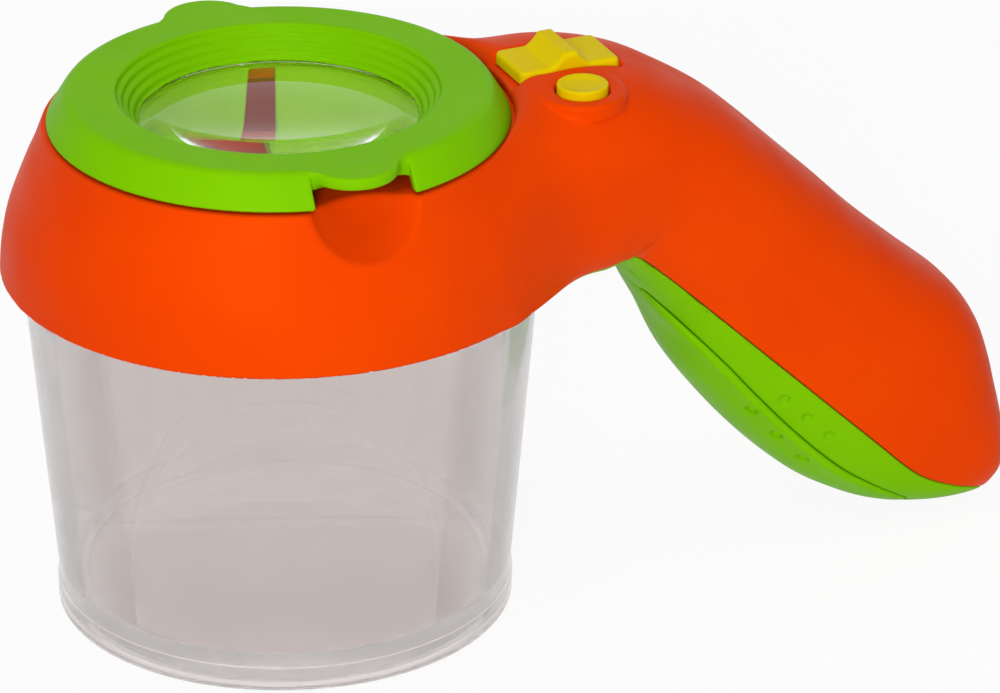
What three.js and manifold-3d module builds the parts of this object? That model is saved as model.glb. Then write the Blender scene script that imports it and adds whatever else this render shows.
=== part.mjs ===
// Insect observation box: a clear cup under a domed head with a hinged magnifying lens,
// and a sloping grip that holds two cells, a slide switch, a push button and a lamp.
// Millimetres, +Z up. The origin is the centre of the cup's flat underside, +X is towards the grip.

import * as THREE from "three";
import { mergeVertices } from "three/addons/utils/BufferGeometryUtils.js";
import Module from "manifold-3d";

const wasm = await Module();
wasm.setup();

// Fits and walls
const gap = 0.3;
const slip = 0.4;
const seamGap = 0.42;
const wall = 2.2;
const roundSteps = 40;
const middleSteps = 24;
const smallSteps = 12;
const seamSteps = 28;
const far = 200;

// Cup
const cupRimRadius = 47.0;
const cupTaper = 5.75;
const cupFootRadius = cupRimRadius - cupTaper;
const cupFootHeight = 4.5;
const cupFootStep = 0.45;
const cupHeight = 74.0;
const cupWall = 1.8;
const cupFloor = 2.8;
const cupFillet = 1.8;

// Domed head
const cupInsertion = 8.6;
const headCollar = 3.0;
const headRimRadius = cupRimRadius + headCollar;
const headRimHeight = cupHeight - cupInsertion;
const headHeight = 27.1;
const headDraw = 8.1;
const headShoulderRadius = headRimRadius - headDraw;
const deckHeight = headRimHeight + headHeight;
// Side curve of the head from rim to shoulder, as shares of its draw inwards and of its height
const headCurve = [
  [0, 0],
  [0.05, 0.17],
  [0.16, 0.35],
  [0.31, 0.49],
  [0.59, 0.7],
  [0.77, 0.82],
  [0.91, 0.93],
  [1, 1],
];
const deckThickness = 2.0;
const pocketInset = 0.15;
const lidPocketRadius = headShoulderRadius - pocketInset;
const throatWall = 2.0;
const throatDepth = 11.0;
const dimpleRadius = 16.3;
const dimpleOut = 1.1;
const dimpleRise = 6.5;
const dimpleReach = headRimRadius + dimpleOut;
const dimpleHeight = deckHeight + dimpleRise;
const dimpleWall = 1.8;

// Lens lid, in a frame of its own: the tab points to -Y and the hinge is at +Y
const lidTurn = THREE.MathUtils.degToRad(3);
const lidPlay = 0.45;
const lidSlope = 3.7;
const lidRise = 6.2;
const lidSkirtRadius = lidPocketRadius - lidPlay;
const lidTopRadius = lidSkirtRadius - lidSlope;
const lidTopHeight = deckHeight + lidRise;
const lidThickness = 2.0;
const lidBand = 8.9;
const funnelRun = 4.3;
const funnelRadius = lidTopRadius - lidBand;
const lensOpening = funnelRadius - funnelRun;
const funnelSteps = 4;
const funnelDepth = 5.2;
const notchHalfWidth = 9.8;
const tabRadius = 8.0;
const tabOut = 5.4;
const tabReach = lidTopRadius + tabOut;
const tabThickness = 2.2;
const lensLap = 1.6;
const lensRadius = lensOpening + lensLap;
const lensEdge = 2.0;
const lensCurve = 100.0;
const retainerWall = 2.4;
const retainerRadius = lensRadius + retainerWall;
const retainerDepth = 10.5;
const retainerDraft = 1.2;
const retainerLedge = 1.0;
const ledgeThickness = 1.0;
const retainerSlotWidth = 4.6;
const retainerSlotAngle = THREE.MathUtils.degToRad(75);
const retainerTabs = 14;
const retainerTabGap = 2.0;

// Lid hinge
const hingeOut = 2.4;
const hingeDrop = 3.8;
const hingeRadius = lidTopRadius + hingeOut;
const hingeHeight = lidTopHeight - hingeDrop;
const hingePinRadius = 0.9;
const hingePinLength = 14.0;
const hingeBarrelRadius = 2.9;
const hingeBarrelLength = 9.0;
const hingeEarRadius = 1.9;
const hingeEarThickness = 2.4;
const hingeLobeThickness = 1.2;

// Neck and grip. The grip frame starts on the grip's axis and slopes down from it.
const gripSlope = THREE.MathUtils.degToRad(44);
const neckRise = 4.3;
const neckDrop = 3.2;
const gripReach = 17.4;
const gripDrop = 27.0;
const neckTop = deckHeight + neckRise;
const neckBottom = headRimHeight - neckDrop;
const gripX = headRimRadius + gripReach;
const gripZ = neckTop - gripDrop;
const crownPower = 2.7;
const loftAround = 28;
const loftSteps = 18;
// Each row is a cross-section: top x and z, underside x and z, half width, squareness below.
const neckSections = [
  [gripX - 33.4, neckTop - 0.8, gripX - 33.4, neckBottom + 0.2, 32.8, 5],
  [gripX - 29.4, neckTop - 0.4, gripX - 29.4, neckBottom + 0.1, 30.2, 5],
  [gripX - 25.4, neckTop - 0.1, gripX - 25.4, neckBottom, 28.4, 5],
  [gripX - 20.4, neckTop, gripX - 20.9, neckBottom - 0.1, 27.2, 5],
  [gripX - 14.4, neckTop - 0.1, gripX - 16.9, neckBottom - 0.6, 26.2, 4.5],
  [gripX - 7.4, neckTop - 0.8, gripX - 13.8, neckBottom - 1.2, 25.0, 4],
  [gripX + 0.1, neckTop - 3.0, gripX - 11.8, neckBottom - 1.7, 23.8, 3.4],
  [gripX + 7.4, neckTop - 6.8, gripX - 10.5, neckBottom - 2.0, 22.7, 3],
];
// Each row is a cross-section of the grip: distance along it, top, underside, half width.
const gripSections = [
  [0, 21.5, -13.3, 22.0],
  [8, 21.9, -13.8, 21.4],
  [17, 21.9, -15.7, 20.9],
  [28, 21.9, -19.9, 20.5],
  [40, 21.7, -22.1, 20.3],
  [52, 22.2, -23.0, 20.2],
  [63, 22.8, -22.6, 20.0],
  [70, 21.4, -21.3, 19.6],
  [76, 18.4, -19.5, 18.9],
  [81, 15.2, -17.0, 18.0],
  [86, 11.9, -13.3, 16.9],
  [90.5, 8.5, -9.1, 14.9],
  [94, 5.1, -5.5, 11.6],
  [96, 2.4, -2.3, 6.6],
  [96.8, 0.6, -0.3, 0.8],
];
const bellyPower = 2.5;
// How far an inset form stops short of the tip, as a share of its length for each millimetre
const tipDraw = 0.058;

// Seam between the upper and the lower shell: along the neck, then along the grip
const neckSeam = [
  [gripX - 37.4, neckBottom + wall],
  [gripX - 13.9, neckBottom + wall - 0.1],
  [gripX - 10.1, neckBottom + wall + 0.3],
];
const gripSeam = [
  [-0.7, -9.4],
  [3.4, -8.3],
  [22, -7.9],
  [60, -7.9],
  [73, -8.0],
  [78, -7.6],
  [82, -6.6],
  [87, -5.1],
  [92, -3.8],
  [100, -3.0],
  [120, -2.8],
];

// Battery cover: its edge on the belly, its ends and how far it stands proud
const coverEdge = [
  [0, -13.4],
  [16, -13.3],
  [28.7, -13.9],
  [39.2, -15.0],
  [51, -15.9],
  [62.4, -16.0],
  [70.7, -15.0],
  [84, -12.2],
];
const coverStart = 9.0;
const coverEnd = 82.2;
const coverWall = 1.8;
const coverProud = 0.6;

// Screws
const caseScrewRadius = 1.2;
const caseScrewHead = 2.6;
const caseScrewLength = 12.0;
const screwHeadHeight = 1.7;
const boardScrewRadius = 0.8;
const boardScrewHead = 1.7;
const boardScrewLength = 5.0;
const bossWall = 1.9;
const neckScrewAlong = 6.5;
const neckScrewSide = 8.5;
const tipScrewAlong = 87.5;
const neckPostSplit = -7.6;
const tipPostSplit = -4.2;
const coverScrewAlong = 77.7;
const coverBossRadius = 4.1;
const coverBossDepth = 8.0;
const coverBridgeTop = -8.4;
const screwFloor = 2.0;

// Cells and their holder
const cellRadius = 5.25;
const cellLength = 44.5;
const cellNub = 0.9;
const cellNubRadius = 1.9;
const cellSpacing = 11.2;
const cellHeight = -11.2;
const bayStart = 22.0;
const bayEnd = 74.0;
const holderWall = 1.4;
const holderHalfWidth = 14.6;
const ledgeDepth = 7.2;
const ledgeOut = 0.6;
const ledgeIn = 1.2;
const ledgeInset = 8.0;
const contactThickness = 0.5;
const springWire = 0.5;
const springWide = 3.4;
const springNarrow = 1.9;
const springTurns = 2;
const springLength = 1.9;
const leadRadius = 0.6;

// Slide switch
const knobX = gripX - 14.6;
const knobY = 1.0;
const knobTurn = THREE.MathUtils.degToRad(4);
const knobLength = 19.4;
const knobWidth = 12.3;
const knobThickness = 2.4;
const knobBottom = neckTop - 2.2;
const knobCorner = 1.2;
const knobTravel = 2.0;
const knobEndGap = 0.5;
const ridgeHeight = 2.5;
const ridgeBase = 8.4;
const ridgeTop = 2.4;
const stemLength = 5.2;
const stemWidth = 3.2;
const leverLength = 2.0;
const leverWidth = 2.6;
const switchLength = 14.0;
const switchWidth = 6.8;
const switchHeight = 4.0;

// Push button
const buttonX = gripX - 15.2;
const buttonY = -13.4;
const buttonRadius = 4.6;
const buttonTop = neckTop + 0.4;
const buttonDish = 0.4;
const buttonTravel = 0.8;
const buttonFlange = 1.0;
const bossRadius = 8.0;
const bossTop = neckTop - 1.1;
const bossUnder = bossTop - 2.7;
const tactSize = 6.0;
const tactHeight = 2.1;
const plungerRadius = 1.4;

// Circuit board and lamp
const boardTop = knobBottom - 7.0;
const boardThickness = 1.6;
const boardEdge = 2.4;
const boardBack = 3.8;
const boardPostX = gripX + 0.6;
const boardPostSides = [-9.0, 7.0];
const lampRadius = 2.5;
const lampX = headRimRadius - 4.0;
const lampZ = deckHeight - 12.5;
const lampTilt = THREE.MathUtils.degToRad(35);
const lampLength = 8.5;

// Materials
const paint = (color, roughness, metalness = 0) =>
  new THREE.MeshStandardMaterial({ color, roughness, metalness });
const orange = paint(0xeb4b0a, 0.45);
const green = paint(0x78b900, 0.4);
const yellow = paint(0xdcc300, 0.4);
const black = paint(0x1c1c1e, 0.5);
const steel = paint(0xb9bcc0, 0.3, 1);
const brass = paint(0xc9a65a, 0.35, 1);
const boardGreen = paint(0x1e6a3a, 0.5);
const cellJacket = paint(0x2a3f66, 0.35);
const redLead = paint(0xb81d1d, 0.5);
const clear = paint(0xd9d6d0, 0.08);
clear.transparent = true;
clear.opacity = 0.3;

// Frames
const gripFrame = new THREE.Matrix4()
  .makeTranslation(gripX, 0, gripZ)
  .multiply(new THREE.Matrix4().makeRotationY(gripSlope));
const lidFrame = new THREE.Matrix4().makeRotationZ(lidTurn);
const knobFrame = new THREE.Matrix4()
  .makeTranslation(knobX, knobY, 0)
  .multiply(new THREE.Matrix4().makeRotationZ(knobTurn));
const lampFrame = new THREE.Matrix4()
  .makeTranslation(lampX, 0, lampZ)
  .multiply(new THREE.Matrix4().makeRotationY(Math.PI / 2 - lampTilt));

// A closed geometry becomes a solid: shared vertices merged, empty triangles dropped, faces out.
function solid(geometry, matrix) {
  const bare = new THREE.BufferGeometry();
  bare.setAttribute("position", geometry.getAttribute("position").clone());
  bare.setIndex(geometry.index);
  if (matrix) bare.applyMatrix4(matrix);
  const merged = mergeVertices(bare, 1e-4);
  const points = merged.getAttribute("position").array;
  const kept = [];
  const corner = [new THREE.Vector3(), new THREE.Vector3(), new THREE.Vector3()];
  let volume = 0;
  for (let i = 0; i < merged.index.count; i += 3) {
    const [a, b, c] = merged.index.array.slice(i, i + 3);
    if (a === b || b === c || c === a) continue;
    kept.push(a, b, c);
    [a, b, c].forEach((v, k) => corner[k].fromArray(points, 3 * v));
    volume += corner[0].dot(corner[1].clone().cross(corner[2]));
  }
  if (volume < 0) kept.reverse();
  return new wasm.Manifold(
    new wasm.Mesh({
      numProp: 3,
      vertProperties: Float32Array.from(points),
      triVerts: Uint32Array.from(kept),
    }),
  );
}

// A named mesh from a solid
function piece(name, body, material) {
  const { vertProperties, triVerts } = body.getMesh();
  const geometry = new THREE.BufferGeometry();
  geometry.setAttribute("position", new THREE.BufferAttribute(vertProperties, 3));
  geometry.setIndex(new THREE.BufferAttribute(triVerts, 1));
  geometry.computeVertexNormals();
  const mesh = new THREE.Mesh(geometry, material);
  mesh.name = name;
  return mesh;
}

const joined = (...bodies) => bodies.reduce((sum, body) => sum.add(body));

// Basic forms
function turned(profile, steps = roundSteps) {
  const closed = [...profile, profile[0]].map(([r, z]) => new THREE.Vector2(r, z));
  return new THREE.LatheGeometry(closed, steps).rotateX(Math.PI / 2);
}

function block(x0, x1, y0, y1, z0, z1) {
  const geometry = new THREE.BoxGeometry(x1 - x0, y1 - y0, z1 - z0);
  return geometry.translate((x0 + x1) / 2, (y0 + y1) / 2, (z0 + z1) / 2);
}

function rod(radius, x, y, z0, z1, steps = smallSteps) {
  const geometry = new THREE.CylinderGeometry(radius, radius, z1 - z0, steps);
  return geometry.rotateX(Math.PI / 2).translate(x, y, (z0 + z1) / 2);
}

function outline(points) {
  return new THREE.Shape(points.map(([a, b]) => new THREE.Vector2(a, b)));
}

// A side outline in X and Z, extruded across the object
function sideSlab(points, y0, y1) {
  const options = { depth: y1 - y0, bevelEnabled: false };
  const geometry = new THREE.ExtrudeGeometry(outline(points), options);
  return geometry.rotateX(Math.PI / 2).translate(0, y1, 0);
}

function planSlab(shape, z0, z1) {
  const options = { depth: z1 - z0, bevelEnabled: false, curveSegments: 4 };
  return new THREE.ExtrudeGeometry(shape, options).translate(0, 0, z0);
}

function roundedRectangle(length, width, radius) {
  const [a, b] = [length / 2, width / 2];
  const shape = new THREE.Shape();
  shape.moveTo(a - radius, -b);
  shape.absarc(a - radius, radius - b, radius, -Math.PI / 2, 0);
  shape.absarc(a - radius, b - radius, radius, 0, Math.PI / 2);
  shape.absarc(radius - a, b - radius, radius, Math.PI / 2, Math.PI);
  shape.absarc(radius - a, radius - b, radius, Math.PI, 1.5 * Math.PI);
  return shape;
}

// The grip frame's points in the object's X and Z
function gripPoint(along, across) {
  const point = new THREE.Vector3(along, 0, across).applyMatrix4(gripFrame);
  return [point.x, point.z];
}

function smoothLine(points, steps) {
  const curve = new THREE.SplineCurve(points.map(([a, b]) => new THREE.Vector2(a, b)));
  return curve.getPoints(steps).map((p) => [p.x, p.y]);
}

// Neck and grip as one lofted form, drawn in by an inset or swelled by a negative one
const sections = [
  ...neckSections,
  ...gripSections.map(([along, top, bottom, half]) => [
    ...gripPoint(along, top),
    ...gripPoint(along, bottom),
    half,
    bellyPower,
  ]),
];

function sectionAt(t) {
  const at = (columns) =>
    new THREE.CatmullRomCurve3(
      sections.map((row) => new THREE.Vector3(...columns.map((c) => (c < 0 ? 0 : row[c])))),
    ).getPoint(t);
  const top = at([0, -1, 1]);
  const bottom = at([2, -1, 3]);
  const size = at([4, 5, -1]);
  return { top, bottom, half: size.x, power: size.y };
}

function sectionRing({ top, bottom, half, power }, inset) {
  const up = top.clone().sub(bottom);
  const tall = up.length() / 2 - inset;
  const centre = top.clone().add(bottom).divideScalar(2);
  up.normalize();
  const ring = [];
  for (let i = 0; i < loftAround; i += 1) {
    const angle = (2 * Math.PI * i) / loftAround;
    const [c, s] = [Math.cos(angle), Math.sin(angle)];
    const bend = s < 0 ? power : crownPower;
    const side = Math.sign(c) * Math.abs(c) ** (2 / bend) * (half - inset);
    const lift = Math.sign(s) * Math.abs(s) ** (2 / bend) * tall;
    ring.push(centre.clone().addScaledVector(up, lift).setY(side));
  }
  return ring;
}

function loft(rings) {
  const around = rings[0].length;
  const points = rings.flat();
  const faces = [];
  for (let r = 0; r < rings.length - 1; r += 1) {
    for (let i = 0; i < around; i += 1) {
      const [a, b] = [r * around + i, r * around + ((i + 1) % around)];
      faces.push(a, b, b + around, a, b + around, a + around);
    }
  }
  [rings[0], rings.at(-1)].forEach((ring, end) => {
    const middle = ring.reduce((sum, p) => sum.add(p), new THREE.Vector3());
    points.push(middle.divideScalar(around));
    const start = end * (rings.length - 1) * around;
    for (let i = 0; i < around; i += 1) {
      const [a, b] = [start + i, start + ((i + 1) % around)];
      faces.push(...(end ? [a, b, points.length - 1] : [b, a, points.length - 1]));
    }
  });
  const geometry = new THREE.BufferGeometry().setFromPoints(points);
  geometry.setIndex(faces);
  return geometry;
}

function handleForm(inset) {
  const reach = Math.min(1, 1 - inset * tipDraw);
  const rings = [];
  for (let k = 0; k <= loftSteps; k += 1) {
    rings.push(sectionRing(sectionAt((reach * k) / loftSteps), inset));
  }
  return loft(rings);
}

// Regions under the seam and under the cover's edge, each lowered by a clearance
const gripLine = (points) => points.map(([along, across]) => gripPoint(along, across));

function underSeam(lowered) {
  const line = smoothLine([...neckSeam, ...gripLine(gripSeam)], seamSteps);
  const edge = line.map(([x, z]) => [x, z - lowered]);
  return solid(sideSlab([...edge, [edge.at(-1)[0], -far], [edge[0][0], -far]], -far, far));
}

function underCover(grown) {
  const line = smoothLine(coverEdge, seamSteps / 2)
    .filter(([along]) => along > coverStart && along < coverEnd)
    .map(([along, across]) => [along, across + grown]);
  const [first, last] = [line[0][1], line.at(-1)[1]];
  const [start, end] = [coverStart - grown, coverEnd + grown];
  const edge = [[start, first], ...line, [end, last]];
  return solid(sideSlab([...edge, [end, -far], [start, -far]], -far, far), gripFrame);
}

// Cup: one turned wall with a flat floor, open at the mouth
function cup() {
  const wallFoot = cupFootRadius - cupFootStep;
  const innerMouth = cupRimRadius - cupWall;
  const innerFoot = wallFoot - cupWall;
  return solid(
    turned([
      [0, 0],
      [cupFootRadius - cupFootStep, 0],
      [cupFootRadius, cupFootStep],
      [cupFootRadius, cupFootHeight - cupFootStep],
      [wallFoot, cupFootHeight],
      [cupRimRadius, cupHeight - cupFootStep],
      [cupRimRadius - cupFootStep, cupHeight],
      [innerMouth, cupHeight],
      [innerFoot, cupFloor + cupFillet],
      [innerFoot - cupFillet / 3, cupFloor + cupFillet / 3],
      [innerFoot - cupFillet, cupFloor],
      [0, cupFloor],
    ]),
  );
}

// Outer line of the domed head, from its rim up to its shoulder
const headLine = headCurve.map(([inwards, upwards]) => [
  headRimRadius - (headRimRadius - headShoulderRadius) * inwards,
  headRimHeight + headHeight * upwards,
]);

const cupBore = cupRimRadius + slip;
const cupSeat = cupHeight + gap;
const throatRadius = retainerRadius + slip * 3;

function headForm() {
  return solid(turned([[0, headRimHeight], ...headLine, [0, deckHeight]]));
}

function headHollow() {
  const under = deckHeight - deckThickness;
  const inner = headLine.slice(3, 6).map(([r, z]) => [r - wall, Math.min(z - 1, under)]);
  return turned([
    [0, headRimHeight - wall],
    [cupBore, headRimHeight - wall],
    [cupBore, cupSeat],
    [cupBore - cupWall - 0.6, cupSeat],
    ...inner,
    [inner.at(-1)[0] - 1.4, under],
    [throatRadius + throatWall, under],
    [throatRadius + throatWall, deckHeight - throatDepth],
    [0, deckHeight - throatDepth],
  ]);
}

function lidPocket() {
  return joined(
    solid(rod(lidPocketRadius, 0, 0, deckHeight, deckHeight + far, roundSteps)),
    solid(rod(throatRadius, 0, 0, 0, far, roundSteps)),
  );
}

// The finger dimple is a ball sunk into the head under the lid's tab
function dimpleBall(grown) {
  const ball = new THREE.SphereGeometry(dimpleRadius + grown, middleSteps, 12);
  return solid(ball.translate(0, -dimpleReach, dimpleHeight), lidFrame);
}

function hingeEars() {
  const ears = [-1, 1].map((side) => {
    const x = side * (hingeBarrelLength / 2 + gap + hingeEarThickness / 2);
    const half = hingeEarThickness / 2;
    const round = new THREE.CylinderGeometry(hingeEarRadius, hingeEarRadius, hingeEarThickness, smallSteps);
    round.rotateZ(Math.PI / 2).translate(x, hingeRadius, hingeHeight);
    const foot = block(
      x - half,
      x + half,
      hingeRadius - hingeEarRadius,
      hingeRadius + hingeEarRadius,
      deckHeight - deckThickness / 2,
      hingeHeight,
    );
    return joined(solid(round, lidFrame), solid(foot, lidFrame));
  });
  return joined(...ears);
}

function hingeBore() {
  const bore = new THREE.CylinderGeometry(hingePinRadius + gap, hingePinRadius + gap, far / 4, smallSteps);
  bore.rotateZ(Math.PI / 2).translate(0, hingeRadius, hingeHeight);
  return bore;
}

// Room for the lid's barrel as the lid swings back
function barrelRoom() {
  const radius = hingeBarrelRadius + gap * 2;
  const length = hingeBarrelLength + gap * 2;
  const room = new THREE.CylinderGeometry(radius, radius, length, middleSteps);
  return solid(room.rotateZ(Math.PI / 2).translate(0, hingeRadius, hingeHeight), lidFrame);
}

// Screw posts: a post on each shell, along the grip frame's height
const caseScrews = [
  { name: "case_screw_left", along: neckScrewAlong, side: neckScrewSide, split: neckPostSplit },
  { name: "case_screw_right", along: neckScrewAlong, side: -neckScrewSide, split: neckPostSplit },
  { name: "case_screw_tip", along: tipScrewAlong, side: 0, split: tipPostSplit },
];
const postRadius = caseScrewHead + gap + bossWall;

function screwSeatTop({ split }) {
  return split - gap / 2 - screwFloor;
}

function upperPosts() {
  const posts = caseScrews.map(({ along, side, split }) =>
    solid(rod(caseScrewRadius + gap + bossWall, along, side, split + gap / 2, far), gripFrame),
  );
  return joined(...posts);
}

function upperPostBores() {
  const bores = caseScrews.map((screw) => {
    const top = screwSeatTop(screw) - gap + caseScrewLength + 1;
    return solid(rod(caseScrewRadius + gap, screw.along, screw.side, screw.split - 1, top), gripFrame);
  });
  return joined(...bores);
}

function lowerPosts() {
  const posts = caseScrews.map(({ along, side, split }) =>
    solid(rod(postRadius, along, side, -far, split - gap / 2), gripFrame),
  );
  return joined(...posts);
}

function lowerPostBores() {
  const bores = caseScrews.map((screw) => {
    const { along, side } = screw;
    const seat = screwSeatTop(screw);
    return joined(
      solid(rod(caseScrewRadius + gap, along, side, -far, far), gripFrame),
      solid(rod(caseScrewHead + gap, along, side, -far, seat), gripFrame),
    );
  });
  return joined(...bores);
}

// Recess for the slide switch's knob, and the slot for its stem
const recessFloor = knobBottom - gap;
const switchTop = boardTop + gap + switchHeight;
const stemBottom = switchTop + gap;
const knobEnd = knobLength / 2 + knobEndGap;
const knobStart = -knobEnd - knobTravel;

function recessTray() {
  const side = knobWidth / 2 + gap + wall;
  const tray = block(knobStart - wall, knobEnd + wall, -side, side, recessFloor - wall + gap, neckTop - 2);
  return solid(tray, knobFrame);
}

function knobRecess() {
  const side = knobWidth / 2 + gap;
  const slotSide = stemWidth / 2 + gap;
  const slotEnd = stemLength / 2 + gap;
  return joined(
    solid(block(knobStart, knobEnd, -side, side, recessFloor, far), knobFrame),
    solid(block(-slotEnd - knobTravel, slotEnd, -slotSide, slotSide, boardTop, far), knobFrame),
  );
}

function buttonBoss() {
  return solid(
    turned(
      [
        [0, bossUnder],
        [bossRadius, bossUnder],
        [bossRadius, bossTop - 0.5],
        [bossRadius - 0.5, bossTop],
        [0, bossTop],
      ],
      middleSteps,
    ).translate(buttonX, buttonY, 0),
  );
}

function buttonRoom() {
  const room = buttonRadius + buttonFlange + slip;
  return joined(
    solid(rod(buttonRadius + gap, buttonX, buttonY, boardTop, far, middleSteps)),
    solid(rod(room, buttonX, buttonY, boardTop, bossUnder, middleSteps)),
  );
}

function boardPosts() {
  const posts = boardPostSides.map((y) =>
    solid(rod(boardScrewRadius + gap + bossWall / 2, boardPostX, y, boardTop + gap, far)),
  );
  return joined(...posts);
}

function boardPostBores() {
  const bores = boardPostSides.map((y) => {
    const top = boardTop - boardThickness - gap + boardScrewLength + 0.8;
    return solid(rod(boardScrewRadius + gap, boardPostX, y, boardTop - boardThickness - 1, top));
  });
  return joined(...bores);
}

function lampBore() {
  return solid(rod(lampRadius + gap, 0, 0, -8, 6), lampFrame);
}

// Upper housing: head, neck and the grip's upper shell in one moulding
const handleOuter = solid(handleForm(0));
const handleInner = solid(handleForm(wall));
const headOuter = headForm();
const headInner = solid(headHollow());
const neckHollow = handleInner.subtract(headOuter);
// What stands inside the shells is trimmed in the middle of their walls, so that it joins them.
const handleMiddle = solid(handleForm(wall / 2));

function housingTop() {
  const handle = handleOuter.subtract(underSeam(-seamGap / 2));
  const skin = joined(headOuter, handle, buttonBoss());
  const bulge = dimpleBall(dimpleWall).subtract(solid(block(-far, far, -far, far, -far, cupSeat)));
  const hollow = headInner.subtract(bulge);
  const shell = skin.subtract(hollow).subtract(neckHollow);
  const inside = joined(recessTray(), upperPosts(), boardPosts()).intersect(handleMiddle);
  const filled = shell.add(inside);
  return filled
    .subtract(lidPocket())
    .add(hingeEars())
    .subtract(barrelRoom())
    .subtract(solid(hingeBore(), lidFrame))
    .subtract(dimpleBall(0))
    .subtract(knobRecess())
    .subtract(buttonRoom())
    .subtract(upperPostBores())
    .subtract(boardPostBores())
    .subtract(lampBore());
}

// Lower shell: the neck's floor plate and the flanks of the grip, open where the cover sits
const ledgeTop = cellHeight + cellRadius + slip - gap;

function holderLedges() {
  const [inner, outer] = [holderHalfWidth - ledgeIn, holderHalfWidth + ledgeOut];
  const [start, end] = [bayStart + ledgeInset, bayEnd - ledgeInset];
  const ledges = [
    block(start, end, inner, outer, ledgeTop - ledgeDepth, ledgeTop),
    block(start, end, -outer, -inner, ledgeTop - ledgeDepth, ledgeTop),
  ];
  return joined(...ledges.map((ledge) => solid(ledge, gripFrame)));
}

function lowerShell() {
  const below = underSeam(seamGap / 2);
  const headClear = solid(rod(headRimRadius + gap, 0, 0, -far, far, roundSteps));
  const skin = handleOuter.intersect(below).subtract(headClear);
  const inside = joined(lowerPosts(), coverScrewBoss(), holderLedges()).intersect(handleMiddle);
  return skin
    .subtract(handleInner)
    .add(inside)
    .subtract(underCover(gap))
    .subtract(lowerPostBores())
    .subtract(coverBossBore());
}

// The cover's screw goes into a bridge between the lower shell's flanks
const coverBossTop = -12.7;
const coverHeadSeat = coverBossTop - screwFloor;

function coverScrewBoss() {
  const half = caseScrewRadius + gap + bossWall;
  const under = coverBossTop + gap;
  const start = bayEnd + gap;
  return joined(
    solid(block(start, start + half, -far, far, under, coverBridgeTop), gripFrame),
    solid(rod(half, coverScrewAlong, 0, under, coverBossTop + coverBossDepth), gripFrame),
  );
}

function coverBossBore() {
  const end = coverBossTop + coverBossDepth + 1;
  return solid(rod(caseScrewRadius + gap, coverScrewAlong, 0, -far, end), gripFrame);
}

// Battery cover: the belly panel with a screw hole near the tip and two hooks at the other end
function batteryCover() {
  const region = underCover(0);
  const panel = solid(handleForm(-coverProud)).intersect(region);
  const hollow = solid(handleForm(coverWall - coverProud));
  const boss = solid(rod(coverBossRadius, coverScrewAlong, 0, -far, coverBossTop), gripFrame);
  const insideBoss = boss.intersect(solid(handleForm(coverWall / 2 - coverProud)));
  const skin = panel.subtract(hollow).add(insideBoss);
  const head = solid(rod(caseScrewHead + gap, coverScrewAlong, 0, -far, coverHeadSeat), gripFrame);
  const hole = solid(rod(caseScrewRadius + gap, coverScrewAlong, 0, -far, far), gripFrame);
  return skin.subtract(head).subtract(hole);
}

// Self-tapping screw with a domed head and a cross recess, its head at the bottom
function screw(radius, headRadius, length) {
  const body = solid(
    turned(
      [
        [0, -screwHeadHeight],
        [headRadius * 0.6, -screwHeadHeight],
        [headRadius, -screwHeadHeight * 0.45],
        [headRadius, 0],
        [radius, 0],
        [radius, length - radius * 1.5],
        [0, length],
      ],
      smallSteps,
    ),
  );
  const arm = headRadius * 0.55;
  const cut = -screwHeadHeight + 0.7;
  const slot = headRadius * 0.12;
  return body
    .subtract(solid(block(-arm, arm, -slot, slot, -screwHeadHeight - 1, cut)))
    .subtract(solid(block(-slot, slot, -arm, arm, -screwHeadHeight - 1, cut)));
}

// Lens lid ring, with a stepped funnel, a notch and tab in front and a barrel behind
const seatHeight = lidTopHeight - funnelDepth - 0.5;

function funnelLine() {
  const line = [];
  const [run, drop] = [(funnelRadius - lensOpening) / funnelSteps, funnelDepth / funnelSteps];
  for (let k = 0; k < funnelSteps; k += 1) {
    const [r, z] = [funnelRadius - run * k, lidTopHeight - drop * k];
    line.push([r, z - drop * 0.25], [r - run * 0.2, z - drop * 0.85]);
  }
  line.push([lensOpening, seatHeight + 0.5]);
  return line;
}

function lensRing() {
  const skirtBottom = deckHeight + gap;
  const under = lidTopHeight - lidThickness;
  const ring = solid(
    turned([
      [lidSkirtRadius, skirtBottom],
      [lidTopRadius + 0.6, lidTopHeight - 0.9],
      [lidTopRadius - 0.4, lidTopHeight],
      [funnelRadius + 0.6, lidTopHeight],
      ...funnelLine(),
      [lensOpening, seatHeight],
      [retainerRadius + gap, seatHeight],
      [retainerRadius + gap, skirtBottom],
      [funnelRadius + lidThickness, under],
      [lidTopRadius - 1.2, under],
      [lidSkirtRadius - lidThickness, skirtBottom],
    ]),
  );
  const reach = tabReach - tabRadius;
  const tab = solid(rod(tabRadius, 0, -reach, lidTopHeight - tabThickness, lidTopHeight - gap, middleSteps));
  const open = solid(rod(funnelRadius + lidThickness, 0, 0, 0, far, roundSteps));
  const notch = solid(
    block(-notchHalfWidth, notchHalfWidth, -far, -lidTopRadius + 0.8, 0, lidTopHeight + 1),
  );
  const earSide = hingeBarrelLength / 2 + hingeEarThickness + gap * 3;
  const rear = solid(block(-earSide, earSide, lidTopRadius - 0.4, far, 0, lidTopHeight + 1));
  const barrelLength = hingeBarrelLength;
  const barrel = new THREE.CylinderGeometry(hingeBarrelRadius, hingeBarrelRadius, barrelLength, middleSteps);
  barrel.rotateZ(Math.PI / 2).translate(0, hingeRadius, hingeHeight);
  const lobeTop = lidTopHeight - gap;
  const lobe = solid(rod(tabRadius, 0, reach, lobeTop - hingeLobeThickness, lobeTop, middleSteps));
  return ring
    .subtract(notch)
    .subtract(rear)
    .add(tab.subtract(open))
    .add(solid(barrel))
    .add(lobe.subtract(open))
    .subtract(solid(hingeBore()));
}

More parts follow.
